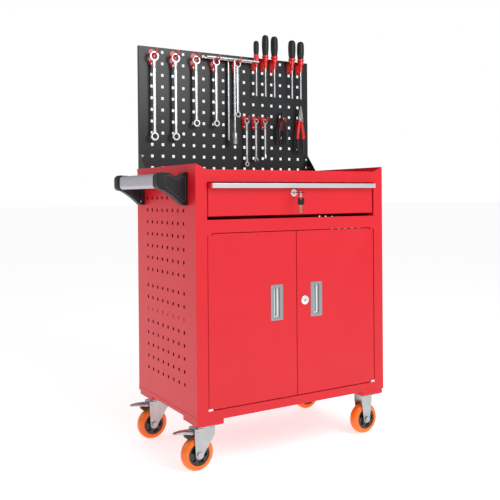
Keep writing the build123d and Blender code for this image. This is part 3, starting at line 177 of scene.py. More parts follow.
# ---- finishes -----------------------------------------------------------------------------
@dataclass(frozen=True)
class Finish:
    """One surface finish: tones, gloss, and the relief of its skin.

    A stretch under 1 on an axis draws the relief out along it, as brushing does.
    """

    name: str
    tone: Triple
    second_tone: Triple
    roughness: float
    metallic: float = 0.0
    mottle_scale: float = 9.0
    mottle: float = 0.35
    grain_scale: float = 900.0
    grain_depth: float = 0.00002
    spread: float = 0.1
    stretch: Triple = (1.0, 1.0, 1.0)
    scuff: float = 0.0
    coat: float = 0.0
    coat_roughness: float = 0.1
    specular: float = 0.5
    anisotropy: float = 0.0

    def build(self, groups: dict[str, bpy.types.NodeTree]) -> bpy.types.Material:
        """Make the material.

        Args:
            groups: The shared effects by name.

        Returns:
            The finished material.
        """
        made = bpy.data.materials.new(self.name)
        made.use_nodes = True
        made.diffuse_color = (*self.tone, 1.0)
        shader = made.node_tree.nodes["Principled BSDF"]
        graph = Graph(made.node_tree)
        place = graph.add("ShaderNodeTexCoord").outputs["Object"]
        drawn = graph.add("ShaderNodeMapping", {"Vector": place, "Scale": self.stretch}).outputs[0]
        mottle = graph.add(
            "ShaderNodeGroup",
            node_tree=groups["mottle"],
        )
        for label, value in (
            ("Tone", (*self.tone, 1.0)),
            ("Second Tone", (*self.second_tone, 1.0)),
            ("Scale", self.mottle_scale),
            ("Amount", self.mottle),
        ):
            mottle.inputs[label].default_value = value
        made.node_tree.links.new(place, mottle.inputs["Vector"])
        grain = graph.add("ShaderNodeGroup", node_tree=groups["grain"])
        for label, value in (
            ("Scale", self.grain_scale),
            ("Depth", self.grain_depth),
            ("Roughness", self.roughness),
            ("Spread", self.spread),
        ):
            grain.inputs[label].default_value = value
        links = made.node_tree.links
        links.new(drawn, grain.inputs["Vector"])
        color = mottle.outputs["Color"]
        rough = grain.outputs["Roughness"]
        if self.scuff:
            scuffs = graph.add("ShaderNodeGroup", node_tree=groups["scuffs"])
            scuffs.inputs["Scale"].default_value = 60.0
            scuffs.inputs["Amount"].default_value = self.scuff
            links.new(place, scuffs.inputs["Vector"])
            rough = graph.math("ADD", rough, scuffs.outputs["Mask"])
        links.new(color, shader.inputs["Base Color"])
        links.new(rough, shader.inputs["Roughness"])
        links.new(grain.outputs["Normal"], shader.inputs["Normal"])
        shader.inputs["Metallic"].default_value = self.metallic
        shader.inputs["Coat Weight"].default_value = self.coat
        shader.inputs["Coat Roughness"].default_value = self.coat_roughness
        shader.inputs["Specular IOR Level"].default_value = self.specular
        shader.inputs["Anisotropic"].default_value = self.anisotropy
        return made


RED = Finish(
    "red_powder_coat", (0.74, 0.01, 0.022), (0.67, 0.008, 0.018), 0.4,
    grain_depth=0.00003, scuff=0.08, coat=0.15, coat_roughness=0.2, specular=0.35,
)
BLACK = Finish(
    "black_powder_coat", (0.007, 0.009, 0.011), (0.011, 0.013, 0.015), 0.34,
    grain_depth=0.00003, scuff=0.04, coat=0.2, coat_roughness=0.2, specular=0.4,
)
HOOK_RED = Finish(
    "red_dipped_hook", (0.72, 0.008, 0.008), (0.6, 0.005, 0.006), 0.22, coat=0.4, grain_scale=500.0,
)
HANDLE_BLACK = Finish(
    "black_moulded_handle", (0.008, 0.007, 0.01), (0.013, 0.012, 0.016), 0.45,
    grain_scale=1400.0, grain_depth=0.00005, scuff=0.06, specular=0.35,
)
TRIM_GREY = Finish("grey_moulded_edge", (0.06, 0.06, 0.07), (0.08, 0.08, 0.09), 0.35, grain_scale=1400.0)
GRIP_SILVER = Finish(
    "satin_anodised_grip", (0.56, 0.54, 0.6), (0.5, 0.49, 0.55), 0.42, metallic=0.75,
    stretch=(1.0, 0.02, 1.0), grain_scale=1600.0, grain_depth=0.00002, mottle=0.3, anisotropy=0.3,
)
STRIP_SILVER = Finish(
    "satin_pull_strip", (0.78, 0.8, 0.84), (0.7, 0.72, 0.77), 0.34, metallic=0.8,
    stretch=(0.02, 1.0, 1.0), grain_scale=1600.0, grain_depth=0.00002, mottle=0.3, anisotropy=0.3,
)
PULL_STEEL = Finish(
    "brushed_pull_plate", (0.36, 0.39, 0.4), (0.3, 0.33, 0.34), 0.42, metallic=0.85,
    stretch=(1.0, 1.0, 0.03), grain_scale=1500.0, grain_depth=0.00003, scuff=0.1,
)
PULL_BRIGHT = Finish(
    "polished_pull_lip", (0.86, 0.87, 0.9), (0.8, 0.81, 0.85), 0.25, metallic=0.6, grain_scale=1500.0,
)
CHROME = Finish(
    "polished_chrome", (0.8, 0.81, 0.83), (0.7, 0.71, 0.73), 0.27, metallic=1.0,
    grain_scale=300.0, grain_depth=0.000002, scuff=0.1, mottle_scale=30.0,
)
TOOL_STEEL = Finish(
    "satin_tool_steel", (0.5, 0.51, 0.52), (0.4, 0.41, 0.42), 0.28, metallic=0.95,
    stretch=(1.0, 1.0, 0.08), grain_scale=900.0, grain_depth=0.000004, scuff=0.1, mottle_scale=40.0,
)
JAW_STEEL = Finish(
    "ground_jaw_steel", (0.5, 0.49, 0.47), (0.36, 0.35, 0.33), 0.32, metallic=0.9,
    grain_scale=700.0, grain_depth=0.00003, scuff=0.3, mottle_scale=60.0,
)
BLACK_JAW = Finish(
    "blacked_jaw_steel", (0.05, 0.045, 0.04), (0.12, 0.1, 0.07), 0.35, metallic=0.8,
    grain_scale=700.0, grain_depth=0.00003, scuff=0.3, mottle_scale=60.0,
)
BRASS = Finish(
    "worn_brass", (0.5, 0.4, 0.22), (0.42, 0.34, 0.2), 0.3, metallic=1.0, mottle_scale=60.0, scuff=0.2,
)
ZINC = Finish(
    "zinc_plate", (0.5, 0.55, 0.56), (0.4, 0.43, 0.42), 0.34, metallic=0.85,
    mottle_scale=26.0, mottle=0.7, grain_scale=420.0, grain_depth=0.00004, spread=0.2, scuff=0.3,
)
ORANGE = Finish(
    "orange_polyurethane", (0.98, 0.2, 0.004), (0.9, 0.13, 0.002), 0.3,
    mottle_scale=14.0, mottle=0.5, grain_scale=600.0, grain_depth=0.00004, scuff=0.3, coat=0.2,
)
CORE_BLACK = Finish(
    "black_wheel_core", (0.012, 0.012, 0.013), (0.02, 0.02, 0.022), 0.22, coat=0.3, grain_scale=500.0,
)
RUBBER = Finish(
    "black_rubber", (0.02, 0.02, 0.02), (0.035, 0.035, 0.035), 0.6, grain_scale=1200.0, grain_depth=0.00006,
)
DRIVER_BLACK = Finish(
    "black_soft_grip", (0.007, 0.007, 0.008), (0.012, 0.012, 0.014), 0.42, grain_scale=1500.0, grain_depth=0.00005,
)
DRIVER_RED = Finish("red_hard_grip", (0.78, 0.015, 0.008), (0.66, 0.01, 0.006), 0.25, coat=0.3)
NYLON = Finish("white_nylon", (0.86, 0.87, 0.86), (0.8, 0.81, 0.8), 0.4, specular=0.4)
ALL_FINISHES = (
    RED, BLACK, HOOK_RED, HANDLE_BLACK, TRIM_GREY, GRIP_SILVER, STRIP_SILVER, PULL_STEEL, PULL_BRIGHT, CHROME,
    TOOL_STEEL, JAW_STEEL, BLACK_JAW, BRASS, ZINC, ORANGE, CORE_BLACK, RUBBER, DRIVER_BLACK, DRIVER_RED, NYLON,
)


class Palette:
    """Every finish as a built material."""

    def __init__(self) -> None:
        """Build the shared groups, then each finish."""
        groups = {"mottle": mottle_group(), "grain": grain_group(), "scuffs": scuff_group()}
        self.materials = {finish.name: finish.build(groups) for finish in ALL_FINISHES}

    def __getitem__(self, finish: Finish) -> bpy.types.Material:
        """Give the material of a finish."""
        return self.materials[finish.name]


# ---- mesh helpers -------------------------------------------------------------------------
SMOOTH_ANGLE = math.radians(32)


def settle(piece: bpy.types.Object, body: str, nodes: Iterable[str] = ()) -> bpy.types.Object:
    """Hand a finished piece to the frame.

    Args:
        piece: The piece, with its place in its mesh.
        body: The body that it moves with.
        nodes: CAD nodes that it stands for.

    Returns:
        The same piece.
    """
    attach(piece, body)
    if nodes:
        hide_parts(*nodes)
    LOG.info("%s rides on %s, %d faces", piece.name, body, len(piece.data.polygons))
    return piece


def piece_from(bm: bmesh.types.BMesh, name: str, *materials: bpy.types.Material) -> bpy.types.Object:
    """Turn a bmesh into a linked object with outward faces and smooth shading.

    Args:
        bm: The mesh, which is freed.
        name: The piece's name.
        materials: Its materials, in the order of the face indices.

    Returns:
        The new object.
    """
    bmesh.ops.remove_doubles(bm, verts=bm.verts, dist=0.01 * MM)
    bmesh.ops.recalc_face_normals(bm, faces=bm.faces)
    mesh = bpy.data.meshes.new(name)
    bm.to_mesh(mesh)
    bm.free()
    for material in materials:
        mesh.materials.append(material)
    mesh.polygons.foreach_set("use_smooth", [True] * len(mesh.polygons))
    mesh.set_sharp_from_angle(angle=SMOOTH_ANGLE)
    piece = bpy.data.objects.new(name, mesh)
    bpy.context.scene.collection.objects.link(piece)
    return piece


def plain_mesh(piece: bpy.types.Object) -> bpy.types.Object:
    """Replace an object's modifiers with the mesh that they give."""
    depsgraph = bpy.context.evaluated_depsgraph_get()
    mesh = bpy.data.meshes.new_from_object(piece.evaluated_get(depsgraph), depsgraph=depsgraph)
    piece.modifiers.clear()
    piece.data = mesh
    return piece


def rounded_edges(piece: bpy.types.Object, width: float, segments: int = 2) -> bpy.types.Object:
    """Round every sharp edge of a piece by a width."""
    bevel = piece.modifiers.new("rounded", "BEVEL")
    bevel.width = width
    bevel.segments = segments
    bevel.limit_method = "ANGLE"
    bevel.angle_limit = math.radians(35)
    bevel.harden_normals = True
    return plain_mesh(piece)


def folded_copy(node: str, name: str, width: float, segments: int, *materials: bpy.types.Material,
                pick: Callable[[Vector], int] | None = None) -> bpy.types.Object:
    """Copy a CAD node as a merged mesh with rounded edges.

    Args:
        node: The CAD node.
        name: The new piece's name.
        width: Edge rounding.
        segments: Faces across the rounding.
        materials: The piece's materials.
        pick: Gives the material's index from a face's centre, where there is more than one.

    Returns:
        The new piece.
    """
    bm = bmesh.new()
    bm.from_mesh(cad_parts[node].data)
    bmesh.ops.remove_doubles(bm, verts=bm.verts, dist=0.005 * MM)
    bmesh.ops.dissolve_limit(bm, angle_limit=math.radians(0.6), verts=bm.verts, edges=bm.edges)
    for face in bm.faces:
        face.material_index = pick(face.calc_center_median()) if pick else 0
    piece = piece_from(bm, name, *materials)
    return rounded_edges(piece, width, segments) if width else piece


def loft(bm: bmesh.types.BMesh, rings: Sequence[Sequence[Vector]], index: int = 0, closed: bool = False) -> None:
    """Skin a row of equal closed rings.

    Args:
        bm: The mesh to add to.
        rings: Rings of points, all of one length.
        index: Material index of the new faces.
        closed: Join the last ring to the first, where the ends are otherwise capped.
    """
    rows = [[bm.verts.new(point) for point in ring] for ring in rings]
    pairs = list(zip(rows, rows[1:]))
    if closed:
        pairs.append((rows[-1], rows[0]))
    for low, high in pairs:
        for i in range(len(low)):
            j = (i + 1) % len(low)
            bm.faces.new((low[i], low[j], high[j], high[i])).material_index = index
    if not closed:
        bm.faces.new(rows[0][::-1]).material_index = index
        bm.faces.new(rows[-1]).material_index = index


def oval(centre: Vector, across: Vector, along: Vector, sides: int = 16, power: float = 1.0) -> list[Vector]:
    """Closed ring round a centre; a power under 1 squares its corners."""
    ring = []
    for i in range(sides):
        turn = 2 * math.pi * i / sides
        c, s = math.cos(turn), math.sin(turn)
        ring.append(
            centre
            + across * math.copysign(abs(c) ** power, c)
            + along * math.copysign(abs(s) ** power, s)
        )
    return ring


def bar_along(bm: bmesh.types.BMesh, path: Sequence[Vector], sizes: Sequence[tuple[float, float]],
              depth_axis: Vector, index: int = 0, sides: int = 16, power: float = 1.0) -> None:
    """Skin a bar along a path.

    Args:
        bm: The mesh to add to.
        path: Its centre line.
        sizes: Half width and half depth at each point of the path.
        depth_axis: The direction of its depth, square to the path.
        index: Material index.
        sides: Points round the bar.
        power: Squareness of its section, as in oval.
    """
    rings = []
    for i, point in enumerate(path):
        tangent = (path[min(i + 1, len(path) - 1)] - path[max(i - 1, 0)]).normalized()
        across = tangent.cross(depth_axis).normalized()
        deep = across.cross(tangent).normalized()
        rings.append(oval(point, across * sizes[i][0], deep * sizes[i][1], sides, power))
    loft(bm, rings, index)


def turned(bm: bmesh.types.BMesh, centre: Vector, axis: Vector, profile: Sequence[tuple[float, float]],
           index: int = 0, sides: int = 40, flutes: Callable[[float, float], float] | None = None) -> None:
    """Turn a profile round an axis.

    Args:
        bm: The mesh to add to.
        centre: The axis's start.
        axis: Its unit direction.
        profile: Distances along the axis with radii.
        index: Material index.
        sides: Points round the axis.
        flutes: Gives a factor on the radius from the angle and the distance.
    """
    side = axis.orthogonal().normalized()
    other = axis.cross(side)
    rings = []
    for distance, radius in profile:
        ring = []
        for i in range(sides):
            turn = 2 * math.pi * i / sides
            reach = radius * (flutes(turn, distance) if flutes else 1.0)
            ring.append(centre + axis * distance + (side * math.cos(turn) + other * math.sin(turn)) * reach)
        rings.append(ring)
    loft(bm, rings, index)


def smooth_path(points: Sequence[Vector], steps: int = 6) -> list[Vector]:
    """Run a Catmull-Rom curve through points."""
    ends = [points[0] * 2 - points[1], *points, points[-1] * 2 - points[-2]]
    path = []
    for i in range(1, len(ends) - 2):
        a, b, c, d = ends[i - 1:i + 3]
        for step in range(steps):
            t = step / steps
            path.append(
                (b * 2 + (c - a) * t + (a * 2 - b * 5 + c * 4 - d) * t * t + (b * 3 - a - c * 3 + d) * t**3) / 2
            )
    return [*path, points[-1]]


def spread_sizes(sizes: Sequence[tuple[float, float]], count: int) -> list[tuple[float, float]]:
    """Spread a few section sizes evenly over a path of more points."""
    spread = []
    for i in range(count):
        place = i / (count - 1) * (len(sizes) - 1)
        low = min(int(place), len(sizes) - 2)
        share = place - low
        spread.append(tuple(a + (b - a) * share for a, b in zip(sizes[low], sizes[low + 1])))
    return spread


def revolved(bm: bmesh.types.BMesh, centre: Vector, axis: Vector, loop: Sequence[tuple[float, float]],
             index: int = 0, segments: int = 72, reach: Callable[[float, float], float] | None = None) -> None:
    """Revolve a closed section into a ring.

    Args:
        bm: The mesh to add to.
        centre: The ring's centre.
        axis: Its unit axis.
        loop: The section's distances along the axis with radii, in order round it.
        index: Material index.
        segments: Faces round the ring.
        reach: Gives a radius from the angle and the section's own radius.
    """
    side = axis.orthogonal().normalized()
    other = axis.cross(side)
    rings = []
    for i in range(segments):
        turn = 2 * math.pi * i / segments
        out = side * math.cos(turn) + other * math.sin(turn)
        rings.append([
            centre + axis * distance + out * (reach(turn, radius) if reach else radius) for distance, radius in loop
        ])
    loft(bm, rings, index, closed=True)


def slab(bm: bmesh.types.BMesh, outline: Sequence[tuple[float, float]], front: float, depth: float,
         index: int = 0) -> None:
    """Thicken an outline of X and Z values from a front plane back along Y."""
    loft(bm, [[Vector((x, y, z)) for x, z in outline] for y in (front, front + depth)], index)


def stadium(centre: Vector, half_width: float, half_height: float, sides: int = 20) -> list[Vector]:
    """Upright oval with straight sides, square to Y."""
    straight = half_height - half_width
    ring = []
    for i in range(sides):
        turn = 2 * math.pi * (i + 0.5) / sides
        lift = math.copysign(straight, math.sin(turn))
        ring.append(centre + Vector((half_width * math.cos(turn), 0, half_width * math.sin(turn) + lift)))
    return ring


X, Y, Z = Vector((1, 0, 0)), Vector((0, 1, 0)), Vector((0, 0, 1))


# ---- geometry node trees ------------------------------------------------------------------
GEOMETRY, MATERIAL = "NodeSocketGeometry", "NodeSocketMaterial"


def open_tree(name: str, sizes: Sequence[str]) -> tuple[Graph, dict]:
    """Start a geometry tree with a Geometry and a Material input, and named sizes."""
    sockets = {"Geometry": GEOMETRY, "Material": MATERIAL} | {size: FLOAT for size in sizes}
    return open_group(name, "GeometryNodeTree", sockets, {"Geometry": GEOMETRY})


def close_tree(graph: Graph, given: dict, shape: bpy.types.NodeSocket, turn: Triple | None = (0, 0, 0)) -> None:
    """End a tree with the shape on every given point, realized and with its material.

    Args:
        graph: The tree's graph.
        given: Its input sockets.
        shape: The shape to repeat.
        turn: The shape's rotation, or None where it isn't repeated.
    """
    if turn is not None:
        spread = graph.add(
            "GeometryNodeInstanceOnPoints", {"Points": given["Geometry"], "Instance": shape, "Rotation": turn}
        )
        shape = spread.outputs[0]
    realized = graph.add("GeometryNodeRealizeInstances", {"Geometry": shape})
    dressed = graph.add(
        "GeometryNodeSetMaterial", {"Geometry": realized.outputs[0], "Material": given["Material"]}
    )
    graph.add("NodeGroupOutput", {"Geometry": dressed.outputs[0]})


def plate_nodes(graph: Graph, width: object, high: object, low: object, hole: object,
                sheet: object) -> bpy.types.NodeSocket:
    """Round-ended upright plate with a square hole near its foot, facing -Y from the XZ plane.

    Args:
        graph: The tree's graph.
        width: Plate width.
        high: Its top above the origin.
        low: Its foot below the origin.
        hole: Side of the square hole.
        sheet: Plate thickness.

    Returns:
        The plate's geometry socket.
    """
    height = graph.math("ADD", high, low)
    middle = graph.math("MULTIPLY", graph.math("SUBTRACT", high, low), 0.5)
    outline = graph.add("GeometryNodeCurvePrimitiveQuadrilateral", {"Width": width, "Height": height})
    rounded = graph.add(
        "GeometryNodeFilletCurve",
        {"Curve": outline.outputs[0], "Count": 6, "Radius": graph.math("MULTIPLY", width, 0.45)},
        mode="POLY",
    )
    lift = graph.add("ShaderNodeCombineXYZ", {"Y": middle})
    placed = graph.add("GeometryNodeTransform", {"Geometry": rounded.outputs[0], "Translation": lift.outputs[0]})
    square = graph.add("GeometryNodeCurvePrimitiveQuadrilateral", {"Width": hole, "Height": hole})
    drop = graph.add("ShaderNodeCombineXYZ", {"Y": graph.math("SUBTRACT", graph.math("MULTIPLY", hole, 1.1), low)})
    window = graph.add("GeometryNodeTransform", {"Geometry": square.outputs[0], "Translation": drop.outputs[0]})
    both = graph.add("GeometryNodeJoinGeometry")
    graph.tree.links.new(window.outputs[0], both.inputs[0])
    graph.tree.links.new(placed.outputs[0], both.inputs[0])
    face = graph.add("GeometryNodeFillCurve", {"Curve": both.outputs[0]})
    raised = graph.add(
        "GeometryNodeExtrudeMesh", {"Mesh": face.outputs[0], "Offset Scale": sheet, "Individual": False}
    )
    back = graph.add("GeometryNodeFlipFaces", {"Mesh": face.outputs[0]})
    solid = graph.add("GeometryNodeJoinGeometry")
    graph.tree.links.new(back.outputs[0], solid.inputs[0])
    graph.tree.links.new(raised.outputs[0], solid.inputs[0])
    merged = graph.add("GeometryNodeMergeByDistance", {"Geometry": solid.outputs[0], "Distance": 0.01 * MM})
    upright = graph.add(
        "GeometryNodeTransform", {"Geometry": merged.outputs[0], "Rotation": (math.pi / 2, 0.0, 0.0)}
    )
    return upright.outputs[0]


def hook_tree() -> bpy.types.NodeTree:
    """Board hook on each point: a round-ended plate and a bent wire arm with a ball end."""
    graph, given = open_tree(
        "board_hooks", ("Arm Length", "Tip Rise", "Arm Radius", "Bend", "Width", "High", "Low", "Hole", "Sheet")
    )
    index = graph.add("GeometryNodeInputIndex").outputs[0]
    reach = graph.math("MULTIPLY", given["Arm Length"], -1.0)
    out = graph.math("MULTIPLY", graph.math("MINIMUM", index, 1.0), reach)
    last = graph.math("MAXIMUM", graph.math("SUBTRACT", index, 1.0), 0.0)
    rise = graph.math("MULTIPLY", last, given["Tip Rise"])
    corner = graph.add("ShaderNodeCombineXYZ", {"Y": out, "Z": rise})
    line = graph.add("GeometryNodeMeshLine", {"Count": 3})
    bent = graph.add("GeometryNodeSetPosition", {"Geometry": line.outputs[0], "Position": corner.outputs[0]})
    curve = graph.add("GeometryNodeMeshToCurve", {"Mesh": bent.outputs[0]})
    soft = graph.add(
        "GeometryNodeFilletCurve", {"Curve": curve.outputs[0], "Count": 6, "Radius": given["Bend"]}, mode="POLY"
    )
    wire = graph.add("GeometryNodeCurvePrimitiveCircle", {"Resolution": 14, "Radius": given["Arm Radius"]})
    arm = graph.add(
        "GeometryNodeCurveToMesh",
        {"Curve": soft.outputs[0], "Profile Curve": wire.outputs[0], "Fill Caps": True},
    )
    ball = graph.add(
        "GeometryNodeMeshUVSphere",
        {"Segments": 14, "Rings": 8, "Radius": graph.math("MULTIPLY", given["Arm Radius"], 1.12)},
    )
    tip = graph.add("ShaderNodeCombineXYZ", {"Y": reach, "Z": given["Tip Rise"]})
    end = graph.add("GeometryNodeTransform", {"Geometry": ball.outputs[0], "Translation": tip.outputs[0]})
    plate = plate_nodes(graph, given["Width"], given["High"], given["Low"], given["Hole"], given["Sheet"])
    hook = graph.add("GeometryNodeJoinGeometry")
    for part in (plate, end.outputs[0], arm.outputs[0]):
        graph.tree.links.new(part, hook.inputs[0])
    close_tree(graph, given, hook.outputs[0])
    return graph.tree


def holder_tree() -> bpy.types.NodeTree:
    """Screwdriver holder on each point: a plate, a neck and a ring round the bore."""
    graph, given = open_tree("driver_holders", ("Bore", "Wall", "Tall", "Out", "Width", "Low", "Hole", "Sheet"))
    middle = graph.math("ADD", given["Bore"], graph.math("MULTIPLY", given["Wall"], 0.5))
    path = graph.add("GeometryNodeCurvePrimitiveCircle", {"Resolution": 36, "Radius": middle})
    section = graph.add(
        "GeometryNodeCurvePrimitiveQuadrilateral", {"Width": given["Wall"], "Height": given["Tall"]}
    )
    band = graph.add(
        "GeometryNodeCurveToMesh", {"Curve": path.outputs[0], "Profile Curve": section.outputs[0]}
    )
    half_tall = graph.math("MULTIPLY", given["Tall"], -0.5)
    reach = graph.math("MULTIPLY", given["Out"], -1.0)
    forward = graph.add("ShaderNodeCombineXYZ", {"Y": reach, "Z": half_tall})
    ring = graph.add("GeometryNodeTransform", {"Geometry": band.outputs[0], "Translation": forward.outputs[0]})
    neck_length = graph.math("SUBTRACT", given["Out"], given["Bore"])
    neck_size = graph.add(
        "ShaderNodeCombineXYZ",
        {"X": given["Bore"], "Y": neck_length, "Z": graph.math("MULTIPLY", given["Tall"], 0.8)},
    )
    neck = graph.add("GeometryNodeMeshCube", {"Size": neck_size.outputs[0]})
    seat = graph.add("ShaderNodeCombineXYZ", {"Y": graph.math("MULTIPLY", neck_length, -0.5), "Z": half_tall})
    arm = graph.add("GeometryNodeTransform", {"Geometry": neck.outputs[0], "Translation": seat.outputs[0]})
    plate = plate_nodes(graph, given["Width"], 0.0, given["Low"], given["Hole"], given["Sheet"])
    holder = graph.add("GeometryNodeJoinGeometry")
    for part in (plate, arm.outputs[0], ring.outputs[0]):
        graph.tree.links.new(part, holder.inputs[0])
    close_tree(graph, given, holder.outputs[0])
    return graph.tree


def screw_tree(name: str, turn: Triple) -> bpy.types.NodeTree:
    """Domed screw head with a hexagon socket on each point, turned one way."""
    graph, given = open_tree(name, ("Radius", "Height", "Socket"))
    dome = graph.add("GeometryNodeMeshUVSphere", {"Segments": 24, "Rings": 12, "Radius": given["Radius"]})
    flat = graph.math("DIVIDE", given["Height"], given["Radius"])
    squeeze = graph.add("ShaderNodeCombineXYZ", {"X": 1.0, "Y": 1.0, "Z": flat})
    head = graph.add("GeometryNodeTransform", {"Geometry": dome.outputs[0], "Scale": squeeze.outputs[0]})
    key = graph.add(
        "GeometryNodeMeshCylinder", {"Vertices": 6, "Radius": given["Socket"], "Depth": given["Height"]}
    )
    lift = graph.add("ShaderNodeCombineXYZ", {"Z": graph.math("MULTIPLY", given["Height"], 0.9)})
    cutter = graph.add("GeometryNodeTransform", {"Geometry": key.outputs[0], "Translation": lift.outputs[0]})
    cut = graph.add("GeometryNodeMeshBoolean", operation="DIFFERENCE")
    graph.tree.links.new(head.outputs[0], cut.inputs[0])
    graph.tree.links.new(cutter.outputs[0], cut.inputs[1])
    close_tree(graph, given, cut.outputs[0], turn)
    return graph.tree


def trim_tree() -> bpy.types.NodeTree:
    """Half-round line that follows the given edges, with softened corners."""
    graph, given = open_tree("trim_lines", ("Radius", "Corner"))
    curve = graph.add("GeometryNodeMeshToCurve", {"Mesh": given["Geometry"]})
    soft = graph.add(
        "GeometryNodeFilletCurve",
        {"Curve": curve.outputs[0], "Count": 5, "Radius": given["Corner"], "Limit Radius": True},
        mode="POLY",
    )
    section = graph.add("GeometryNodeCurvePrimitiveCircle", {"Resolution": 8, "Radius": given["Radius"]})
    line = graph.add(
        "GeometryNodeCurveToMesh",
        {"Curve": soft.outputs[0], "Profile Curve": section.outputs[0], "Fill Caps": True},
    )
    close_tree(graph, given, line.outputs[0], None)
    return graph.tree


def grown(name: str, tree: bpy.types.NodeTree, material: bpy.types.Material, points: Sequence[Vector],
          sizes: dict[str, float], edges: Sequence[tuple[int, int]] = ()) -> bpy.types.Object:
    """Run a geometry tree on points and keep its result as a plain mesh.

    Args:
        name: The piece's name.
        tree: The geometry tree.
        material: Given to the tree's Material input.
        points: The points that the tree works on.
        sizes: Its named sizes.
        edges: Edges between the points, for a tree that follows them.

    Returns:
        The finished piece.
    """
    mesh = bpy.data.meshes.new(name)
    mesh.from_pydata([tuple(point) for point in points], list(edges), [])
    piece = bpy.data.objects.new(name, mesh)
    bpy.context.scene.collection.objects.link(piece)
    modifier = piece.modifiers.new(tree.name, "NODES")
    modifier.node_group = tree
    values = dict(sizes, Material=material)
    for item in tree.interface.items_tree:
        if item.in_out == "INPUT" and item.name in values:
            modifier[item.identifier] = values[item.name]
    piece = plain_mesh(piece)
    mesh = piece.data
    mesh.polygons.foreach_set("use_smooth", [True] * len(mesh.polygons))
    mesh.set_sharp_from_angle(angle=SMOOTH_ANGLE)
    return piece


@dataclass(frozen=True)
class Fold:
    """A frame node that is kept as an eased copy, its width in millimetres."""

    node: str
    name: str
    body: str
    slot: str
    finish: Finish
    width: float
    segments: int = 2

    def build(self, palette: Palette) -> None:
        """Copy the node with eased edges, dress it and set it on its body."""
        piece = folded_copy(self.node, self.name, self.width * MM, self.segments, palette[self.finish])
        settle(piece, self.body, [self.node])


def build_folds(palette: Palette, folds: Iterable[Fold]) -> None:
    """Build each fold in turn."""
    for fold in folds:
        fold.build(palette)


# ---- cabinet body -------------------------------------------------------------------------
@dataclass
class CabinetBody:
    """Folded sheets of the body, tray and tool board."""

    palette: Palette
    edge: float = 0.45
    rivet_radius: float = 3.2 * MM
    rivet_height: float = 0.7 * MM
    rivet_in: float = 14 * MM
    rivet_count: int = 7
    screw_radius: float = 6 * MM
    screw_height: float = 3 * MM
    screw_socket: float = 2.4 * MM
    red_nodes: tuple[str, ...] = (
        "left_side_panel", "right_side_panel", "back_panel", "bottom_pan", "front_frame", "worktop_tray",
        "cupboard_shelf", "caster_pads",
    )

    def build(self) -> None:
        """Build the sheets and the screws that join them."""
        red = [Fold(node, f"{node}_sheet", "cabinet", "red_paint", RED, self.edge) for node in self.red_nodes]
        black = [
            Fold(node, f"{node}_sheet", "cabinet", "black_paint", BLACK, self.edge, 1)
            for node in ("tool_board", "board_gussets")
        ]
        build_folds(self.palette, red + black)
        self.rivets()
        self.screws()

    def rivets(self) -> None:
        """Build the rivet rows down both edges of the back panel."""
        low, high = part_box("back_panel")
        rows = [
            Vector((x, high.y, low.z + (high.z - low.z) * (i + 0.5) / self.rivet_count))
            for x in (low.x + self.rivet_in, high.x - self.rivet_in)
            for i in range(self.rivet_count)
        ]
        sizes = {"Radius": self.rivet_radius, "Height": self.rivet_height, "Socket": self.rivet_radius * 0.35}
        tree = screw_tree("back_rivets", (-math.pi / 2, 0.0, 0.0))
        settle(grown("back_panel_rivets", tree, self.palette[RED], rows, sizes), "cabinet")

    def screws(self) -> None:
        """Build the visible screw heads of the gussets."""
        low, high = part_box("board_gussets")
        sizes = {"Radius": self.screw_radius, "Height": self.screw_height, "Socket": self.screw_socket}
        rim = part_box("worktop_tray")[1].z
        front = [
            Vector((x, high.y - 1.5 * MM, rim + z * MM))
            for x in (low.x + 9 * MM, high.x - 9 * MM)
            for z in (12, 42)
        ]
        tree = screw_tree("screws_facing_front", (math.pi / 2, 0.0, 0.0))
        board_screws = grown("gusset_board_screws", tree, self.palette[ZINC], front, sizes)
        settle(board_screws, "cabinet", ["pan_head_bolts"])
        for side, x, turn in (("left", low.x + 1.5 * MM, 1), ("right", high.x - 1.5 * MM, -1)):
            heads = [Vector((x, high.y - reach * MM, rim - 18 * MM)) for reach in (14, 38)]
            tree = screw_tree(f"screws_facing_{side}", (0.0, turn * math.pi / 2, 0.0))
            piece = grown(f"gusset_tray_screws_{side}", tree, self.palette[ZINC], heads, sizes)
            settle(piece, "cabinet")


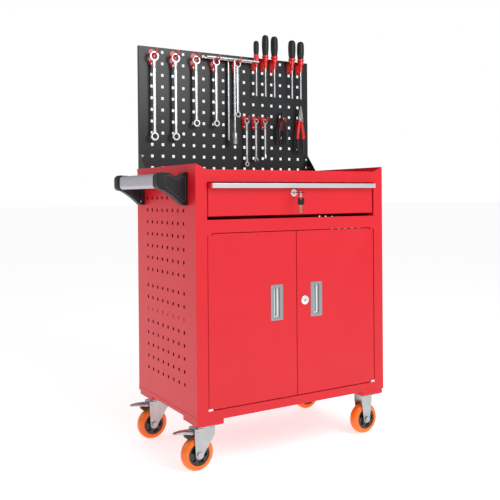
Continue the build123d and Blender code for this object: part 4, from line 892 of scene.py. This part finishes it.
# ---- push handle --------------------------------------------------------------------------
@dataclass
class PushHandle:
    """Moulded brackets with ridged caps, and the oval grip tube between them."""

    palette: Palette
    ridge_count: int = 3
    ridge_pitch: float = 4.2 * MM
    ridge_width: float = 3.2 * MM
    ridge_proud: float = 1.1 * MM
    bracket_thick: float = 30 * MM
    line_radius: float = 0.7 * MM

    def build(self) -> None:
        """Build the brackets, their ridges and lines, and the grip."""
        build_folds(self.palette, (
            Fold("handle_grip", "grip_tube", "cabinet", "silver_grip", GRIP_SILVER, 0.0, 1),
            Fold("handle_brackets", "bracket_mouldings", "cabinet", "black_plastic", HANDLE_BLACK, 0.3, 1),
        ))
        self.ridges()
        self.lines()
        self.screw()

    def screw(self) -> None:
        """Build the small screw low on the rear bracket's inner face."""
        low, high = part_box("handle_brackets")
        place = Vector((high.x - 13 * MM, high.y - self.bracket_thick, low.z + 11 * MM))
        sizes = {"Radius": 3 * MM, "Height": 1.6 * MM, "Socket": 1.2 * MM}
        tree = screw_tree("bracket_screws", (math.pi / 2, 0.0, 0.0))
        settle(grown("bracket_screw", tree, self.palette[ZINC], [place], sizes), "cabinet")

    def ridges(self) -> None:
        """Build the stepped collars where each cap meets the grip."""
        low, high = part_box("handle_brackets")
        grip_low, grip_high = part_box("handle_grip")
        middle = (grip_low + grip_high) / 2
        half_width = (grip_high.x - grip_low.x) / 2
        half_height = (grip_high.z - grip_low.z) / 2
        bm = bmesh.new()
        for inner, inward in ((low.y + self.bracket_thick, 1), (high.y - self.bracket_thick, -1)):
            for i in range(self.ridge_count):
                grow = self.ridge_proud * (self.ridge_count - i)
                start = inner + inward * i * self.ridge_pitch
                rings = []
                for share, ease in ((-0.2, 0.0), (0.0, 0.0), (0.75, 0.0), (1.0, 0.7 * MM)):
                    centre = Vector((middle.x, start + inward * share * self.ridge_width, middle.z))
                    rings.append(stadium(centre, half_width + grow - ease, half_height + grow - ease, 36))
                loft(bm, rings)
        piece = piece_from(bm, "cap_ridges", self.palette[HANDLE_BLACK])
        settle(piece, "cabinet")

    def lines(self) -> None:
        """Build the raised outline on each bracket's broad faces."""
        low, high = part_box("handle_brackets")
        grip_low, grip_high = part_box("handle_grip")
        panel = high.x
        middle_z = (grip_low.z + grip_high.z) / 2
        corners = (
            (panel - 7 * MM, low.z + 13 * MM),
            (panel - 7 * MM, high.z - 8 * MM),
            (panel - 30 * MM, middle_z + 3 * MM),
            (panel - 56 * MM, high.z - 10 * MM),
            (panel - 74 * MM, high.z - 12 * MM),
            (panel - 70 * MM, middle_z - 16 * MM),
            (panel - 16 * MM, low.z + 13 * MM),
        )
        tree = trim_tree()
        thick = self.bracket_thick
        for place, y in (
            ("front_outer", low.y), ("front_inner", low.y + thick),
            ("rear_inner", high.y - thick), ("rear_outer", high.y),
        ):
            points = [Vector((x, y, z)) for x, z in corners]
            edges = [(i, (i + 1) % len(points)) for i in range(len(points))]
            sizes = {"Radius": self.line_radius, "Corner": 4 * MM}
            piece = grown(f"bracket_line_{place}", tree, self.palette[TRIM_GREY], points, sizes, edges)
            settle(piece, "cabinet")


# ---- drawer and doors ---------------------------------------------------------------------
@dataclass
class Drawer:
    """Drawer with its pull strip, lock and keys."""

    palette: Palette
    bow_length: float = 22 * MM
    cap_length: float = 7 * MM
    cap_over: float = 0.3 * MM
    cap_proud: float = 0.6 * MM

    def build(self) -> None:
        """Build the drawer's sheets, its lock and its keys."""
        build_folds(self.palette, (
            Fold("drawer_front", "drawer_front_sheet", "drawer", "red_paint", RED, 0.7),
            Fold("drawer_box", "drawer_box_sheet", "drawer", "red_paint", RED, 0.4),
            Fold("drawer_pull", "pull_strip", "drawer", "silver_grip", STRIP_SILVER, 0.5),
        ))
        self.end_cap()
        build_folds(self.palette, (
            Fold("drawer_slides_moving", "moving_runners", "drawer", "zinc", ZINC, 0.3, 1),
            Fold("drawer_slides_fixed", "fixed_runners", "cabinet", "zinc", ZINC, 0.3, 1),
            Fold("drawer_lock_barrel", "drawer_lock_bezel", "drawer", "chrome", CHROME, 0.5, 3),
            Fold("drawer_lock_plug", "drawer_lock_core", "drawer_lock", "chrome", CHROME, 0.3),
            Fold("drawer_lock_cam", "drawer_lock_tongue", "drawer_lock", "zinc", ZINC, 0.3, 1),
        ))
        self.keys()

    def end_cap(self) -> None:
        """Build the painted cap on the left end of the pull strip."""
        low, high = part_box("drawer_pull")
        left, right = low.x - self.cap_over, low.x + self.cap_length
        foot, top = low.z - self.cap_over, high.z + self.cap_over
        bm = bmesh.new()
        slab(bm, ((left, foot), (right, foot), (right, top), (left, top)), low.y - self.cap_proud, high.y - low.y)
        cap = rounded_edges(piece_from(bm, "pull_strip_end_cap", self.palette[RED]), 0.8 * MM)
        settle(cap, "drawer")

    def keys(self) -> None:
        """Build the key in the lock, the ring and the spare key."""
        pal = self.palette
        bow_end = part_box("drawer_key")[0].y + self.bow_length
        key = folded_copy(
            "drawer_key", "key_in_lock", 0.6 * MM, 3, pal[DRIVER_BLACK], pal[BRASS],
            pick=lambda centre: int(centre.y > bow_end),
        )
        settle(key, "drawer_lock", ["drawer_key"])
        spare_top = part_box("spare_key")[1].z
        spare = folded_copy(
            "spare_key", "hanging_spare_key", 0.6 * MM, 3, pal[DRIVER_BLACK], pal[BRASS],
            pick=lambda centre: int(centre.z < spare_top - self.bow_length),
        )
        settle(spare, "drawer", ["spare_key"])
        Fold("key_ring", "split_ring", "drawer", "chrome", CHROME, 0.0, 1).build(pal)


@dataclass
class Doors:
    """Two doors with flush pulls, pivots, bushes and a lock."""

    palette: Palette
    lip_width: float = 7.5 * MM
    lip_depth: float = 6.5 * MM
    gap: float = 2.2 * MM
    recess_width: float = 20 * MM
    recess_height: float = 89 * MM
    sheet: float = 1.2 * MM
    clear: float = 0.3 * MM

    def build(self) -> None:
        """Build both doors and what is on them."""
        pal = self.palette
        for side in ("left", "right"):
            body = f"{side}_door"
            build_folds(pal, (
                Fold(body, f"{body}_sheet", body, "red_paint", RED, 0.5),
                Fold(f"{body}_pull", f"{body}_pull_plate", body, "steel_pull", PULL_STEEL, 0.35),
            ))
            self.lip(body)
            Fold(f"{body}_pins", f"{body}_pivots", body, "zinc", ZINC, 0.3, 1).build(pal)
        low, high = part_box("door_bushes")
        middle = (low.z + high.z) / 2
        bushes = folded_copy(
            "door_bushes", "nylon_bushes", 0.5 * MM, 2, pal[NYLON], pal[RED],
            pick=lambda centre: int(centre.z > middle),
        )
        settle(bushes, "cabinet", ["door_bushes"])
        build_folds(pal, (
            Fold("door_lock_barrel", "door_lock_bezel", "right_door", "chrome", PULL_BRIGHT, 0.6, 3),
            Fold("door_lock_plug", "door_lock_core", "door_lock", "chrome", CHROME, 0.3),
            Fold("door_lock_cam", "door_lock_tongue", "door_lock", "zinc", ZINC, 0.3, 1),
        ))

    def lip(self, body: str) -> None:
        """Build the bright lining and finger lip in a door's pull."""
        low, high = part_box(f"{body}_pull")
        middle = (low + high) / 2
        half = self.recess_width / 2
        floor = high.y - self.sheet - 0.05 * MM
        left = middle.x - half + self.clear
        right = middle.x + half - self.clear
        foot = middle.z - self.recess_height / 2 + self.clear
        top = middle.z + self.recess_height / 2 - self.clear
        bm = bmesh.new()
        slot = right - self.lip_width - self.gap
        lining = ((left, foot), (slot, foot), (slot, top), (left, top))
        slab(bm, lining, floor - self.sheet, self.sheet)
        lip = ((right - self.lip_width, foot), (right, foot), (right, top), (right - self.lip_width, top))
        slab(bm, lip, floor - self.lip_depth, self.lip_depth)
        base = ((left, foot), (right, foot), (right, foot + 4 * MM), (left, foot + 4 * MM))
        slab(bm, base, floor - self.lip_depth - 1 * MM, self.lip_depth)
        piece = rounded_edges(piece_from(bm, f"{body}_pull_lip", self.palette[PULL_BRIGHT]), 0.5 * MM)
        settle(piece, body)


# ---- casters ------------------------------------------------------------------------------
@dataclass
class Caster:
    """One caster: fork, axle, wheel, and the brake pedal of a swivelling one."""

    palette: Palette
    place: str
    swivels: bool
    tyre_radius: float = 49.98 * MM
    core_radius: float = 33 * MM
    half_width: float = 16 * MM
    pedal_half: float = 15 * MM

    @property
    def name(self) -> str:
        """Name stem of its nodes."""
        return f"{self.place}_{'swivel' if self.swivels else 'rigid'}"

    def build(self) -> None:
        """Build the wheel, and the fork, axle and pedal where they are its own."""
        pal = self.palette
        wheel_body = f"{self.name}_wheel"
        core = f"{self.name}_wheel_core"
        Fold(core, f"{self.name}_core_moulding", wheel_body, "black_core", CORE_BLACK, 0.7).build(pal)
        self.tyre(wheel_body)
        if self.swivels:
            build_folds(pal, (
                Fold(f"{self.name}_fork", f"{self.name}_pressed_fork", self.name, "zinc", ZINC, 0.9, 3),
                Fold(f"{self.name}_axle", f"{self.name}_axle_bolt", self.name, "zinc", ZINC, 0.7),
            ))
            self.pedal()

    def tyre(self, body: str) -> None:
        """Build the rounded tyre with its bead step."""
        low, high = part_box(f"{self.name}_tyre")
        centre = (low + high) / 2
        w, r, c = self.half_width, self.tyre_radius, self.core_radius + 0.05 * MM
        half = [(w, c), (w, c + 3 * MM), (w - 0.8 * MM, c + 3.6 * MM)]
        for i in range(9):
            turn = math.pi / 2 * i / 8
            half.append((2.5 * MM + (w - 3.5 * MM) * math.cos(turn), r - 12 * MM + 12 * MM * math.sin(turn)))
        loop = half + [(-distance, radius) for distance, radius in reversed(half)]
        bm = bmesh.new()
        revolved(bm, centre, Y, loop, segments=80)
        settle(piece_from(bm, f"{self.name}_rounded_tyre", self.palette[ORANGE]), body,
               [f"{self.name}_tyre"])

    def pedal(self) -> None:
        """Build the beak-shaped brake pedal with its pin and rubber shoe."""
        body = f"{self.place}_brake"
        low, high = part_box(f"{self.name}_brake_pedal")
        middle_y = (low.y + high.y) / 2
        bm = bmesh.new()
        stations = (
            (0.0, 0.50, -5.0, 2.2), (0.14, 0.62, -4.0, 3.4), (0.34, 0.8, -4.5, 5.0), (0.55, 0.97, -6.5, 6.6),
            (0.75, 1.0, -8.5, 8.2), (0.9, 0.95, -9.5, 8.4), (1.0, 0.8, -9.5, 6.5),
        )
        top = high.z
        rings = []
        for share, width, mid, half in stations:
            x = low.x + (high.x - low.x) * share
            centre = Vector((x, middle_y, top + mid * MM))
            rings.append(oval(centre, Y * self.pedal_half * width, Z * half * MM * 0.9, 24, 0.6))
        loft(bm, rings)
        near, far = (low.x + share * (high.x - low.x) for share in (0.5, 0.72))
        head, sole = top - 14 * MM, low.z + 0.5 * MM
        outline = ((near, head), (near + 3 * MM, sole), (far, sole), (far, head))
        loft(bm, [[Vector((x, middle_y + y, z)) for x, z in outline] for y in (-12.5 * MM, 12.5 * MM)], 1)
        pin_x = high.x - 5 * MM
        turned(bm, Vector((pin_x, low.y - 0.8 * MM, top - 8.5 * MM)), Y,
               ((0, 1.6 * MM), (0.8 * MM, 4 * MM), (0.9 * MM, 3 * MM), (high.y - low.y + 0.7 * MM, 3 * MM),
                (high.y - low.y + 0.8 * MM, 4 * MM), (high.y - low.y + 1.6 * MM, 1.6 * MM)), 0, 24)
        beak = piece_from(bm, f"{self.name}_pedal_beak", self.palette[ZINC], self.palette[RUBBER])
        piece = rounded_edges(beak, 0.5 * MM)
        settle(piece, body, [f"{self.name}_brake_pedal"])


@dataclass
class FixedCasterSteel:
    """Caster steel that is fixed to the cabinet."""

    palette: Palette

    def build(self) -> None:
        """Build the swivel heads, the rigid forks and their axles."""
        build_folds(self.palette, [
            Fold(node, f"{node}_plated", "cabinet", "zinc", ZINC, width)
            for node, width in (("swivel_plates", 0.6), ("rigid_forks", 0.9), ("rigid_axles", 0.7))
        ])


# ---- hung tools ---------------------------------------------------------------------------
def fluted(turn: float, _: float) -> float:
    """Share of the radius that six shallow flutes leave at an angle."""
    return 1 - 0.075 * (0.5 + 0.5 * math.cos(6 * turn))


class SpannerEnd(Enum):
    """Lower end of a hung spanner."""

    RING = "ring"
    OPEN = "open"
    SOCKET = "socket"


@dataclass(frozen=True)
class Spanner:
    """Sizes of one hung spanner, in millimetres."""

    column: int
    centres: float
    outer: float
    bore: float
    lower_outer: float
    lower_bore: float
    thick: float
    end: SpannerEnd = SpannerEnd.RING


@dataclass(frozen=True)
class Driver:
    """Sizes of one screwdriver, in millimetres."""

    column: int
    handle: float
    radius: float


@dataclass(frozen=True)
class Pliers:
    """Sizes of one pair of pliers, in millimetres."""

    column: int
    jaw: float
    handle: float
    spread: float
    long_nose: bool


@dataclass
class ToolBoard:
    """Hooks, holders and hung tools of the board."""

    palette: Palette
    pitch: float = 39.0
    group_gap: float = 47.0
    group_columns: int = 8
    upper_drop: float = 27.0
    lower_drop: float = 229.5
    holder_out: float = 22.0
    spanners: tuple[Spanner, ...] = (
        Spanner(0, 267, 16.5, 10.9, 14.5, 8.0, 8), Spanner(2, 265, 16, 10.6, 14, 7.7, 8),
        Spanner(4, 217, 15, 9.9, 13, 7.2, 8), Spanner(6, 215, 14, 9.2, 12, 6.6, 8),
        Spanner(8, 180, 13, 8.6, 11, 6.1, 8),
        Spanner(9, 155, 10.5, 6.5, 9, 4.5, 6),
        Spanner(10, 139, 10, 6.2, 8.5, 4.3, 6, SpannerEnd.OPEN),
        Spanner(11, 127, 9.5, 5.9, 8, 4.0, 6, SpannerEnd.SOCKET),
    )
    drivers: tuple[Driver, ...] = (
        Driver(10, 60, 10.5), Driver(11, 85, 13), Driver(12, 84, 14), Driver(14, 78, 14.5), Driver(15, 77, 14),
    )
    pliers: tuple[Pliers, ...] = (Pliers(13, 24, 96, 17, False), Pliers(15, 52, 128, 13, True))

    def __post_init__(self) -> None:
        """Read the board's face and the hook heights from the frame."""
        low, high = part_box("tool_board")
        self.face = low.y / MM
        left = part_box("left_side_panel")[0]
        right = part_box("right_side_panel")[1]
        self.middle = (left.x + right.x) / 2 / MM
        self.top = high.z / MM
        self.top_arm = self.top - self.upper_drop
        self.lower_arm = self.top - self.lower_drop

    def column_x(self, column: int) -> float:
        """Place of a column along the board, in millimetres."""
        if column < self.group_columns:
            return self.middle - self.group_gap / 2 - (self.group_columns - 1 - column) * self.pitch
        return self.middle + self.group_gap / 2 + (column - self.group_columns) * self.pitch

    def point(self, x: float, out: float, z: float) -> Vector:
        """Point in metres, a given distance in front of the board's face."""
        return Vector((x, self.face - out, z)) * MM

    def build(self) -> None:
        """Build everything that hangs on the board."""
        self.hooks()
        self.holders()
        self.hang_spanners()
        self.wrenches()
        self.screwdrivers()
        self.hang_pliers()

    def hooks(self) -> None:
        """Build the long hooks of the upper row and the short ones of the lower row."""
        tree = hook_tree()
        rows = (
            ("upper_hooks", (0, 2, 4, 6, 8), self.top_arm, 48, 14, 22, 19, 37),
            ("lower_hooks", (9, 10, 11, 13, 15), self.lower_arm, 36, 11, 18, 16, 32),
        )
        for name, columns, z, reach, rise, width, high, low in rows:
            points = [self.point(self.column_x(column), 0.1, z) for column in columns]
            sizes = {
                "Arm Length": (reach - 1.5) * MM, "Tip Rise": rise * MM, "Arm Radius": 2.5 * MM, "Bend": 5 * MM,
                "Width": width * MM, "High": high * MM, "Low": low * MM, "Hole": 6 * MM, "Sheet": 1.4 * MM,
            }
            piece = grown(name, tree, self.palette[HOOK_RED], points, sizes)
            settle(piece, "cabinet", ["tool_hooks"] if name == "upper_hooks" else [])

    def holders(self) -> None:
        """Build the screwdriver holders."""
        tree = holder_tree()
        points = [self.point(self.column_x(driver.column), 0.1, self.top - 3) for driver in self.drivers]
        sizes = {
            "Bore": 8 * MM, "Wall": 2.2 * MM, "Tall": 12 * MM, "Out": self.holder_out * MM,
            "Width": 18 * MM, "Low": 46 * MM, "Hole": 6 * MM, "Sheet": 1.4 * MM,
        }
        piece = grown("screwdriver_rings", tree, self.palette[HOOK_RED], points, sizes)
        settle(piece, "cabinet", ["screwdriver_holders"])

    def twelve_point(self, outer: float, bore: float) -> Callable[[float, float], float]:
        """Radius rule that gives a ring end its twelve points inside."""
        limit = (outer + bore) / 2

        def reach(turn: float, radius: float) -> float:
            if radius > limit:
                return radius
            wave = abs(math.sin(6 * turn))
            return radius - 0.9 * MM * (1 - wave)

        return reach

    def ring_end(self, bm: bmesh.types.BMesh, centre: Vector, outer: float, bore: float, thick: float) -> None:
        """Add a ring end with a chamfered rim and twelve points in its bore."""
        half, ease = thick / 2, thick * 0.18
        loop = (
            (-half, bore + ease), (-half, outer - ease), (-half + ease, outer), (half - ease, outer),
            (half, outer - ease), (half, bore + ease), (half - ease * 0.8, bore), (-half + ease * 0.8, bore),
        )
        revolved(bm, centre, Y, loop, 0, 48, self.twelve_point(outer, bore))

    def hang_spanners(self) -> None:
        """Build the spanners with darker ring ends and bright tapered shafts."""
        for family, arm in (("ring_spanners", self.top_arm), ("small_spanners", self.lower_arm)):
            bm = bmesh.new()
            for spanner in self.spanners:
                if (spanner.column < 9) == (family == "ring_spanners"):
                    self.spanner(bm, spanner, arm)
            piece = piece_from(bm, f"{family}_forged", self.palette[CHROME], self.palette[TOOL_STEEL])
            settle(piece, "cabinet", [family])

    def spanner(self, bm: bmesh.types.BMesh, spanner: Spanner, arm: float) -> None:
        """Add one spanner that hangs by its upper ring."""
        out = 21.0 if spanner.column < 9 else 17.0
        x = self.column_x(spanner.column)
        top = self.point(x, out, arm + 2.8 - spanner.bore)
        foot = top - Z * spanner.centres * MM
        outer, lower = spanner.outer * MM, spanner.lower_outer * MM
        thick = spanner.thick * MM
        self.ring_end(bm, top, outer, spanner.bore * MM, thick)
        if spanner.end is SpannerEnd.OPEN:
            self.jaw_end(bm, foot, lower, thick)
        elif spanner.end is SpannerEnd.SOCKET:
            turned(bm, foot - Z * lower, Z, ((0, lower * 0.5), (0.4 * MM, lower * 0.62), (lower * 1.7, lower * 0.62),
                                             (lower * 2.1, lower * 0.42)), 0, 24)
        else:
            self.ring_end(bm, foot, lower, spanner.lower_bore * MM, thick)
        start, end = top - Z * (outer - 1.2 * MM), foot + Z * (lower - 1.2 * MM)
        length = (start - end).length
        half = 5.6 * MM if spanner.column < 9 else 3.9 * MM
        neck = min(26 * MM, length * 0.2)
        upper = [start, start - Z * neck * 0.55, start - Z * neck]
        sizes = [(outer * 0.55, thick * 0.46), (half * 1.15, thick * 0.42), (half, thick * 0.36)]
        bar_along(bm, upper, sizes, Y, 1, 16, 0.7)
        lower_neck = [end + Z * neck, end + Z * neck * 0.55, end]
        sizes = [(half * 0.9, thick * 0.36), (half, thick * 0.42), (lower * 0.55, thick * 0.46)]
        bar_along(bm, lower_neck, sizes, Y, 1, 16, 0.7)
        shaft = [start - Z * (neck - 0.5 * MM), (start + end) / 2, end + Z * (neck - 0.5 * MM)]
        sizes = [(half, thick * 0.36), (half * 0.86, thick * 0.34), (half * 0.9, thick * 0.36)]
        bar_along(bm, shaft, sizes, Y, 0, 16, 0.5)

    def jaw_end(self, bm: bmesh.types.BMesh, centre: Vector, outer: float, thick: float) -> None:
        """Add an open end: a rounded head with a slanted gap that faces down."""
        gap, tilt = outer * 0.42, math.radians(15)
        outline = []
        steps = 18
        for i in range(steps + 1):
            turn = math.radians(-55) + math.radians(290) * i / steps
            outline.append((outer * math.cos(turn), outer * math.sin(turn)))
        outline += [(-gap, -outer * 0.72), (-gap, -outer * 0.1), (-gap * 0.5, outer * 0.22), (gap * 0.5, outer * 0.22),
                    (gap, -outer * 0.1), (gap, -outer * 0.72)]
        turned_outline = [
            (centre.x + x * math.cos(tilt) - z * math.sin(tilt),
             centre.z + x * math.sin(tilt) + z * math.cos(tilt))
            for x, z in outline
        ]
        slab(bm, turned_outline, centre.y - thick / 2, thick, 1)

    def wrenches(self) -> None:
        """Build the two sliding bar wrenches with a knurled socket on the longer one."""
        low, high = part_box("t_handle_wrenches")
        bar_z = high.z - 4 * MM
        middle = (self.column_x(7) + self.column_x(8)) / 2
        bm = bmesh.new()
        for aside, length, out in ((4.0, 300.0, 33.5), (-8.0, 285.0, 10.5)):
            centre = self.point(middle, out, 0)
            centre.z = bar_z
            half = (high.x - low.x) / 2
            left = Vector((low.x, centre.y, bar_z))
            ends = ((0, 3.0 * MM), (0.8 * MM, 4.0 * MM), (2 * half - 0.8 * MM, 4.0 * MM), (2 * half, 3.0 * MM))
            turned(bm, left, X, ends, 0, 28)
            top = centre + X * aside * MM
            turned(bm, top - Z * length * MM, Z, ((0, 2.6 * MM), (0.6 * MM, 3.6 * MM), ((length - 9) * MM, 3.6 * MM),
                                                  ((length - 1) * MM, 3.4 * MM)), 0, 28)
            hub = ((-7.0 * MM, 4.6 * MM), (-6 * MM, 5.4 * MM), (6 * MM, 5.4 * MM), (7.0 * MM, 4.6 * MM))
            turned(bm, top, X, hub, 1, 28)
            if out > 20:
                foot = top - Z * length * MM
                profile = ((0, 7.6 * MM), (0.8 * MM, 8.9 * MM), (16 * MM, 8.9 * MM), (16.6 * MM, 8.2 * MM),
                           (18 * MM, 8.2 * MM), (18.6 * MM, 8.9 * MM), (36 * MM, 8.9 * MM), (41 * MM, 7.2 * MM),
                           (46 * MM, 4.2 * MM))
                turned(bm, foot, Z, profile, 1, 40)
        piece = piece_from(bm, "sliding_bar_wrenches", self.palette[CHROME], self.palette[TOOL_STEEL])
        settle(piece, "cabinet", ["t_handle_wrenches"])

    def screwdrivers(self) -> None:
        """Build the fluted handles with red collars, and their blades."""
        handles, blades = bmesh.new(), bmesh.new()
        blade_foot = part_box("screwdriver_blades")[0].z
        for driver in self.drivers:
            base = self.point(self.column_x(driver.column), self.holder_out, self.top - 2.7)
            radius, length = driver.radius * MM, driver.handle * MM
            collar = ((-36 * MM, 4.4 * MM), (-35 * MM, 6.3 * MM), (-2 * MM, 6.4 * MM), (0.0, 6.4 * MM),
                      (0.6 * MM, radius * 0.82), (3 * MM, radius * 0.93), (9 * MM, radius * 0.9))
            turned(handles, base, Z, collar, 1, 36)
            grip = []
            shape = ((0.1, 0.84), (0.16, 0.8), (0.26, 0.88), (0.42, 0.98), (0.62, 1.0), (0.8, 0.97), (0.9, 0.88),
                     (0.96, 0.7), (0.99, 0.42), (1.0, 0.12))
            for share, wide in shape:
                grip.append((length * share, radius * wide * 0.985))
            turned(handles, base, Z, grip, 0, 48, fluted)
            foot = blade_foot - base.z
            shaft = ((foot, 2.4 * MM), (foot + 1 * MM, 2.9 * MM), (-35.5 * MM, 2.9 * MM))
            turned(blades, base, Z, shaft, 0, 20)
        piece = piece_from(handles, "driver_handles", self.palette[DRIVER_BLACK], self.palette[DRIVER_RED])
        settle(piece, "cabinet", ["screwdriver_handles"])
        piece = piece_from(blades, "driver_blades", self.palette[CHROME])
        settle(piece, "cabinet", ["screwdriver_blades"])

    def hang_pliers(self) -> None:
        """Build both pairs of pliers: jaws, pivot and dipped handles."""
        heads, grips = bmesh.new(), bmesh.new()
        for pair in self.pliers:
            self.plier_pair(heads, grips, pair)
        piece = rounded_edges(
            piece_from(heads, "plier_jaws", self.palette[JAW_STEEL], self.palette[BLACK_JAW], self.palette[BRASS]),
            0.4 * MM,
        )
        settle(piece, "cabinet", ["pliers_heads"])
        piece = piece_from(grips, "plier_handles", self.palette[DRIVER_BLACK], self.palette[DRIVER_RED])
        settle(piece, "cabinet", ["pliers_grips"])

    def plier_pair(self, heads: bmesh.types.BMesh, grips: bmesh.types.BMesh, pair: Pliers) -> None:
        """Add one pair of pliers that hangs by its joint.

        Args:
            heads: Mesh of the jaws and pivots.
            grips: Mesh of the dipped handles.
            pair: Its sizes.
        """
        low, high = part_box("pliers_heads")
        middle_y = (low.y + high.y) / 2
        depth = (high.y - low.y) * 0.92
        joint = Vector((self.column_x(pair.column) * MM, middle_y, self.lower_arm * MM + 11.8 * MM))
        steel = 0 if pair.long_nose else 1
        jaw, wide = pair.jaw * MM, 10.5 * MM
        for side in (-1, 1):
            tip = 1.8 * MM if pair.long_nose else 3.4 * MM
            outline = [
                (joint.x + side * 0.35 * MM, joint.z + 2 * MM), (joint.x + side * wide, joint.z + 2 * MM),
                (joint.x + side * wide * 0.86, joint.z + 9 * MM), (joint.x + side * wide * 0.6, joint.z + jaw * 0.55),
                (joint.x + side * tip, joint.z + jaw - 1 * MM), (joint.x + side * 0.35 * MM, joint.z + jaw),
            ]
            slab(heads, outline, middle_y - depth / 2, depth, steel)
        body = [(joint.x + wide * math.cos(math.radians(a)), joint.z + wide * math.sin(math.radians(a)))
                for a in range(0, 360, 15)]
        slab(heads, body, middle_y - depth / 2 - 0.1 * MM, depth + 0.2 * MM, steel)
        turned(heads, Vector((joint.x, middle_y - depth / 2 - 0.3 * MM, joint.z)), Y,
               ((-0.2 * MM, 1.6 * MM), (0.2 * MM, 3.2 * MM), (0.9 * MM, 3.4 * MM)), 2 if steel else 0, 24)
        length, spread = pair.handle * MM, pair.spread * MM
        for side in (-1, 1):
            path = smooth_path([
                joint + Vector((side * 4 * MM, 0, -6 * MM)),
                joint + Vector((side * spread * 0.62, 0, -length * 0.22)),
                joint + Vector((side * spread, 0, -length * 0.5)),
                joint + Vector((side * spread * 0.94, 0, -length * 0.78)),
                joint + Vector((side * spread * 0.72, 0, -length)),
            ], 8)
            sizes = spread_sizes([(4.4 * MM, 3.4 * MM), (5.8 * MM, 4.3 * MM), (6.2 * MM, 4.5 * MM),
                                  (5.8 * MM, 4.3 * MM), (3.2 * MM, 2.6 * MM)], len(path))
            split = int(len(path) * (0.55 if pair.long_nose else 0.42))
            first = 1 if pair.long_nose else 0
            bar_along(grips, path[: split + 1], sizes[: split + 1], Y, first, 16, 0.85)
            bar_along(grips, path[split:], sizes[split:], Y, 0, 16, 0.85)


# ---- studio -------------------------------------------------------------------------------
@dataclass
class Studio:
    """Pale floor, soft light and the camera."""

    camera_at: Triple = (-1.2057, -1.9943, 0.7935)
    yaw: float = 0.541
    pitch: float = -0.005
    roll: float = -0.008
    lens: float = 51.39
    shift_y: float = -0.1
    fill: float = 0.38
    floor_glow: float = 0.62
    front_power: float = 31
    side_power: float = 7

    def build(self) -> None:
        """Build the floor, the lights and the camera."""
        bpy.context.scene.view_settings.view_transform = "Standard"
        self.floor()
        self.lights()
        self.camera()

    def floor(self) -> None:
        """Build the plain pale floor and the white surroundings."""
        half = 60.0
        mesh = bpy.data.meshes.new("floor")
        corners = [(-half, -half, 0), (half, -half, 0), (half, half, 0), (-half, half, 0)]
        mesh.from_pydata(corners, [], [(0, 1, 2, 3)])
        material = bpy.data.materials.new("pale_floor")
        material.use_nodes = True
        shader = material.node_tree.nodes["Principled BSDF"]
        shader.inputs["Base Color"].default_value = (0.9, 0.9, 0.9, 1)
        shader.inputs["Roughness"].default_value = 0.75
        shader.inputs["Emission Color"].default_value = (1, 1, 1, 1)
        shader.inputs["Emission Strength"].default_value = self.floor_glow
        mesh.materials.append(material)
        piece = bpy.data.objects.new("floor", mesh)
        bpy.context.scene.collection.objects.link(piece)
        world = bpy.data.worlds.new("surroundings")
        world.use_nodes = True
        light = world.node_tree.nodes["Background"]
        light.inputs["Color"].default_value = (1, 1, 1, 1)
        light.inputs["Strength"].default_value = self.fill
        backdrop = world.node_tree.nodes.new("ShaderNodeBackground")
        backdrop.inputs["Color"].default_value = (1, 1, 1, 1)
        choice = world.node_tree.nodes.new("ShaderNodeMixShader")
        seen = world.node_tree.nodes.new("ShaderNodeLightPath")
        output = world.node_tree.nodes["World Output"]
        world.node_tree.links.new(seen.outputs["Is Camera Ray"], choice.inputs[0])
        world.node_tree.links.new(light.outputs[0], choice.inputs[1])
        world.node_tree.links.new(backdrop.outputs[0], choice.inputs[2])
        world.node_tree.links.new(choice.outputs[0], output.inputs["Surface"])
        bpy.context.scene.world = world

    def lights(self) -> None:
        """Build a large soft light in front and a smaller one from the left, behind."""
        for name, place, target, size, power in (
            ("front_softbox", (0.4, -1.9, 2.05), (0.0, 0.0, 0.8), 1.5, self.front_power),
            ("side_lamp", (-2.3, 0.9, 1.7), (-0.3, 0.0, 0.7), 0.5, self.side_power),
        ):
            data = bpy.data.lights.new(name, "AREA")
            data.size = size
            data.energy = power
            lamp = bpy.data.objects.new(name, data)
            lamp.location = place
            lamp.rotation_euler = (Vector(target) - Vector(place)).to_track_quat("-Z", "Y").to_euler()
            bpy.context.scene.collection.objects.link(lamp)

    def camera(self) -> None:
        """Place the camera."""
        level = math.cos(self.pitch)
        forward = Vector((math.sin(self.yaw) * level, math.cos(self.yaw) * level, math.sin(self.pitch)))
        right = Vector((math.cos(self.yaw), -math.sin(self.yaw), 0))
        up = right.cross(forward)
        across = right * math.cos(self.roll) + up * math.sin(self.roll)
        upward = up * math.cos(self.roll) - right * math.sin(self.roll)
        data = bpy.data.cameras.new("camera")
        data.lens = self.lens
        data.sensor_width = 36
        data.shift_y = self.shift_y
        camera = bpy.data.objects.new("camera", data)
        turn = Matrix((across, upward, -forward)).transposed().to_4x4()
        camera.matrix_world = Matrix.Translation(self.camera_at) @ turn
        bpy.context.scene.collection.objects.link(camera)
        bpy.context.scene.camera = camera


def main() -> None:
    """Build every sub-assembly, then the studio."""
    logging.basicConfig(level=logging.INFO, format="%(message)s")
    palette = Palette()
    parts = [CabinetBody(palette), PushHandle(palette), Drawer(palette), Doors(palette), FixedCasterSteel(palette)]
    for place in ("front", "rear"):
        parts += [Caster(palette, place, True), Caster(palette, place, False)]
    parts.append(ToolBoard(palette))
    for part in parts:
        LOG.info("building %s", type(part).__name__)
        part.build()
    Studio().build()


if __name__ == "__main__":
    main()
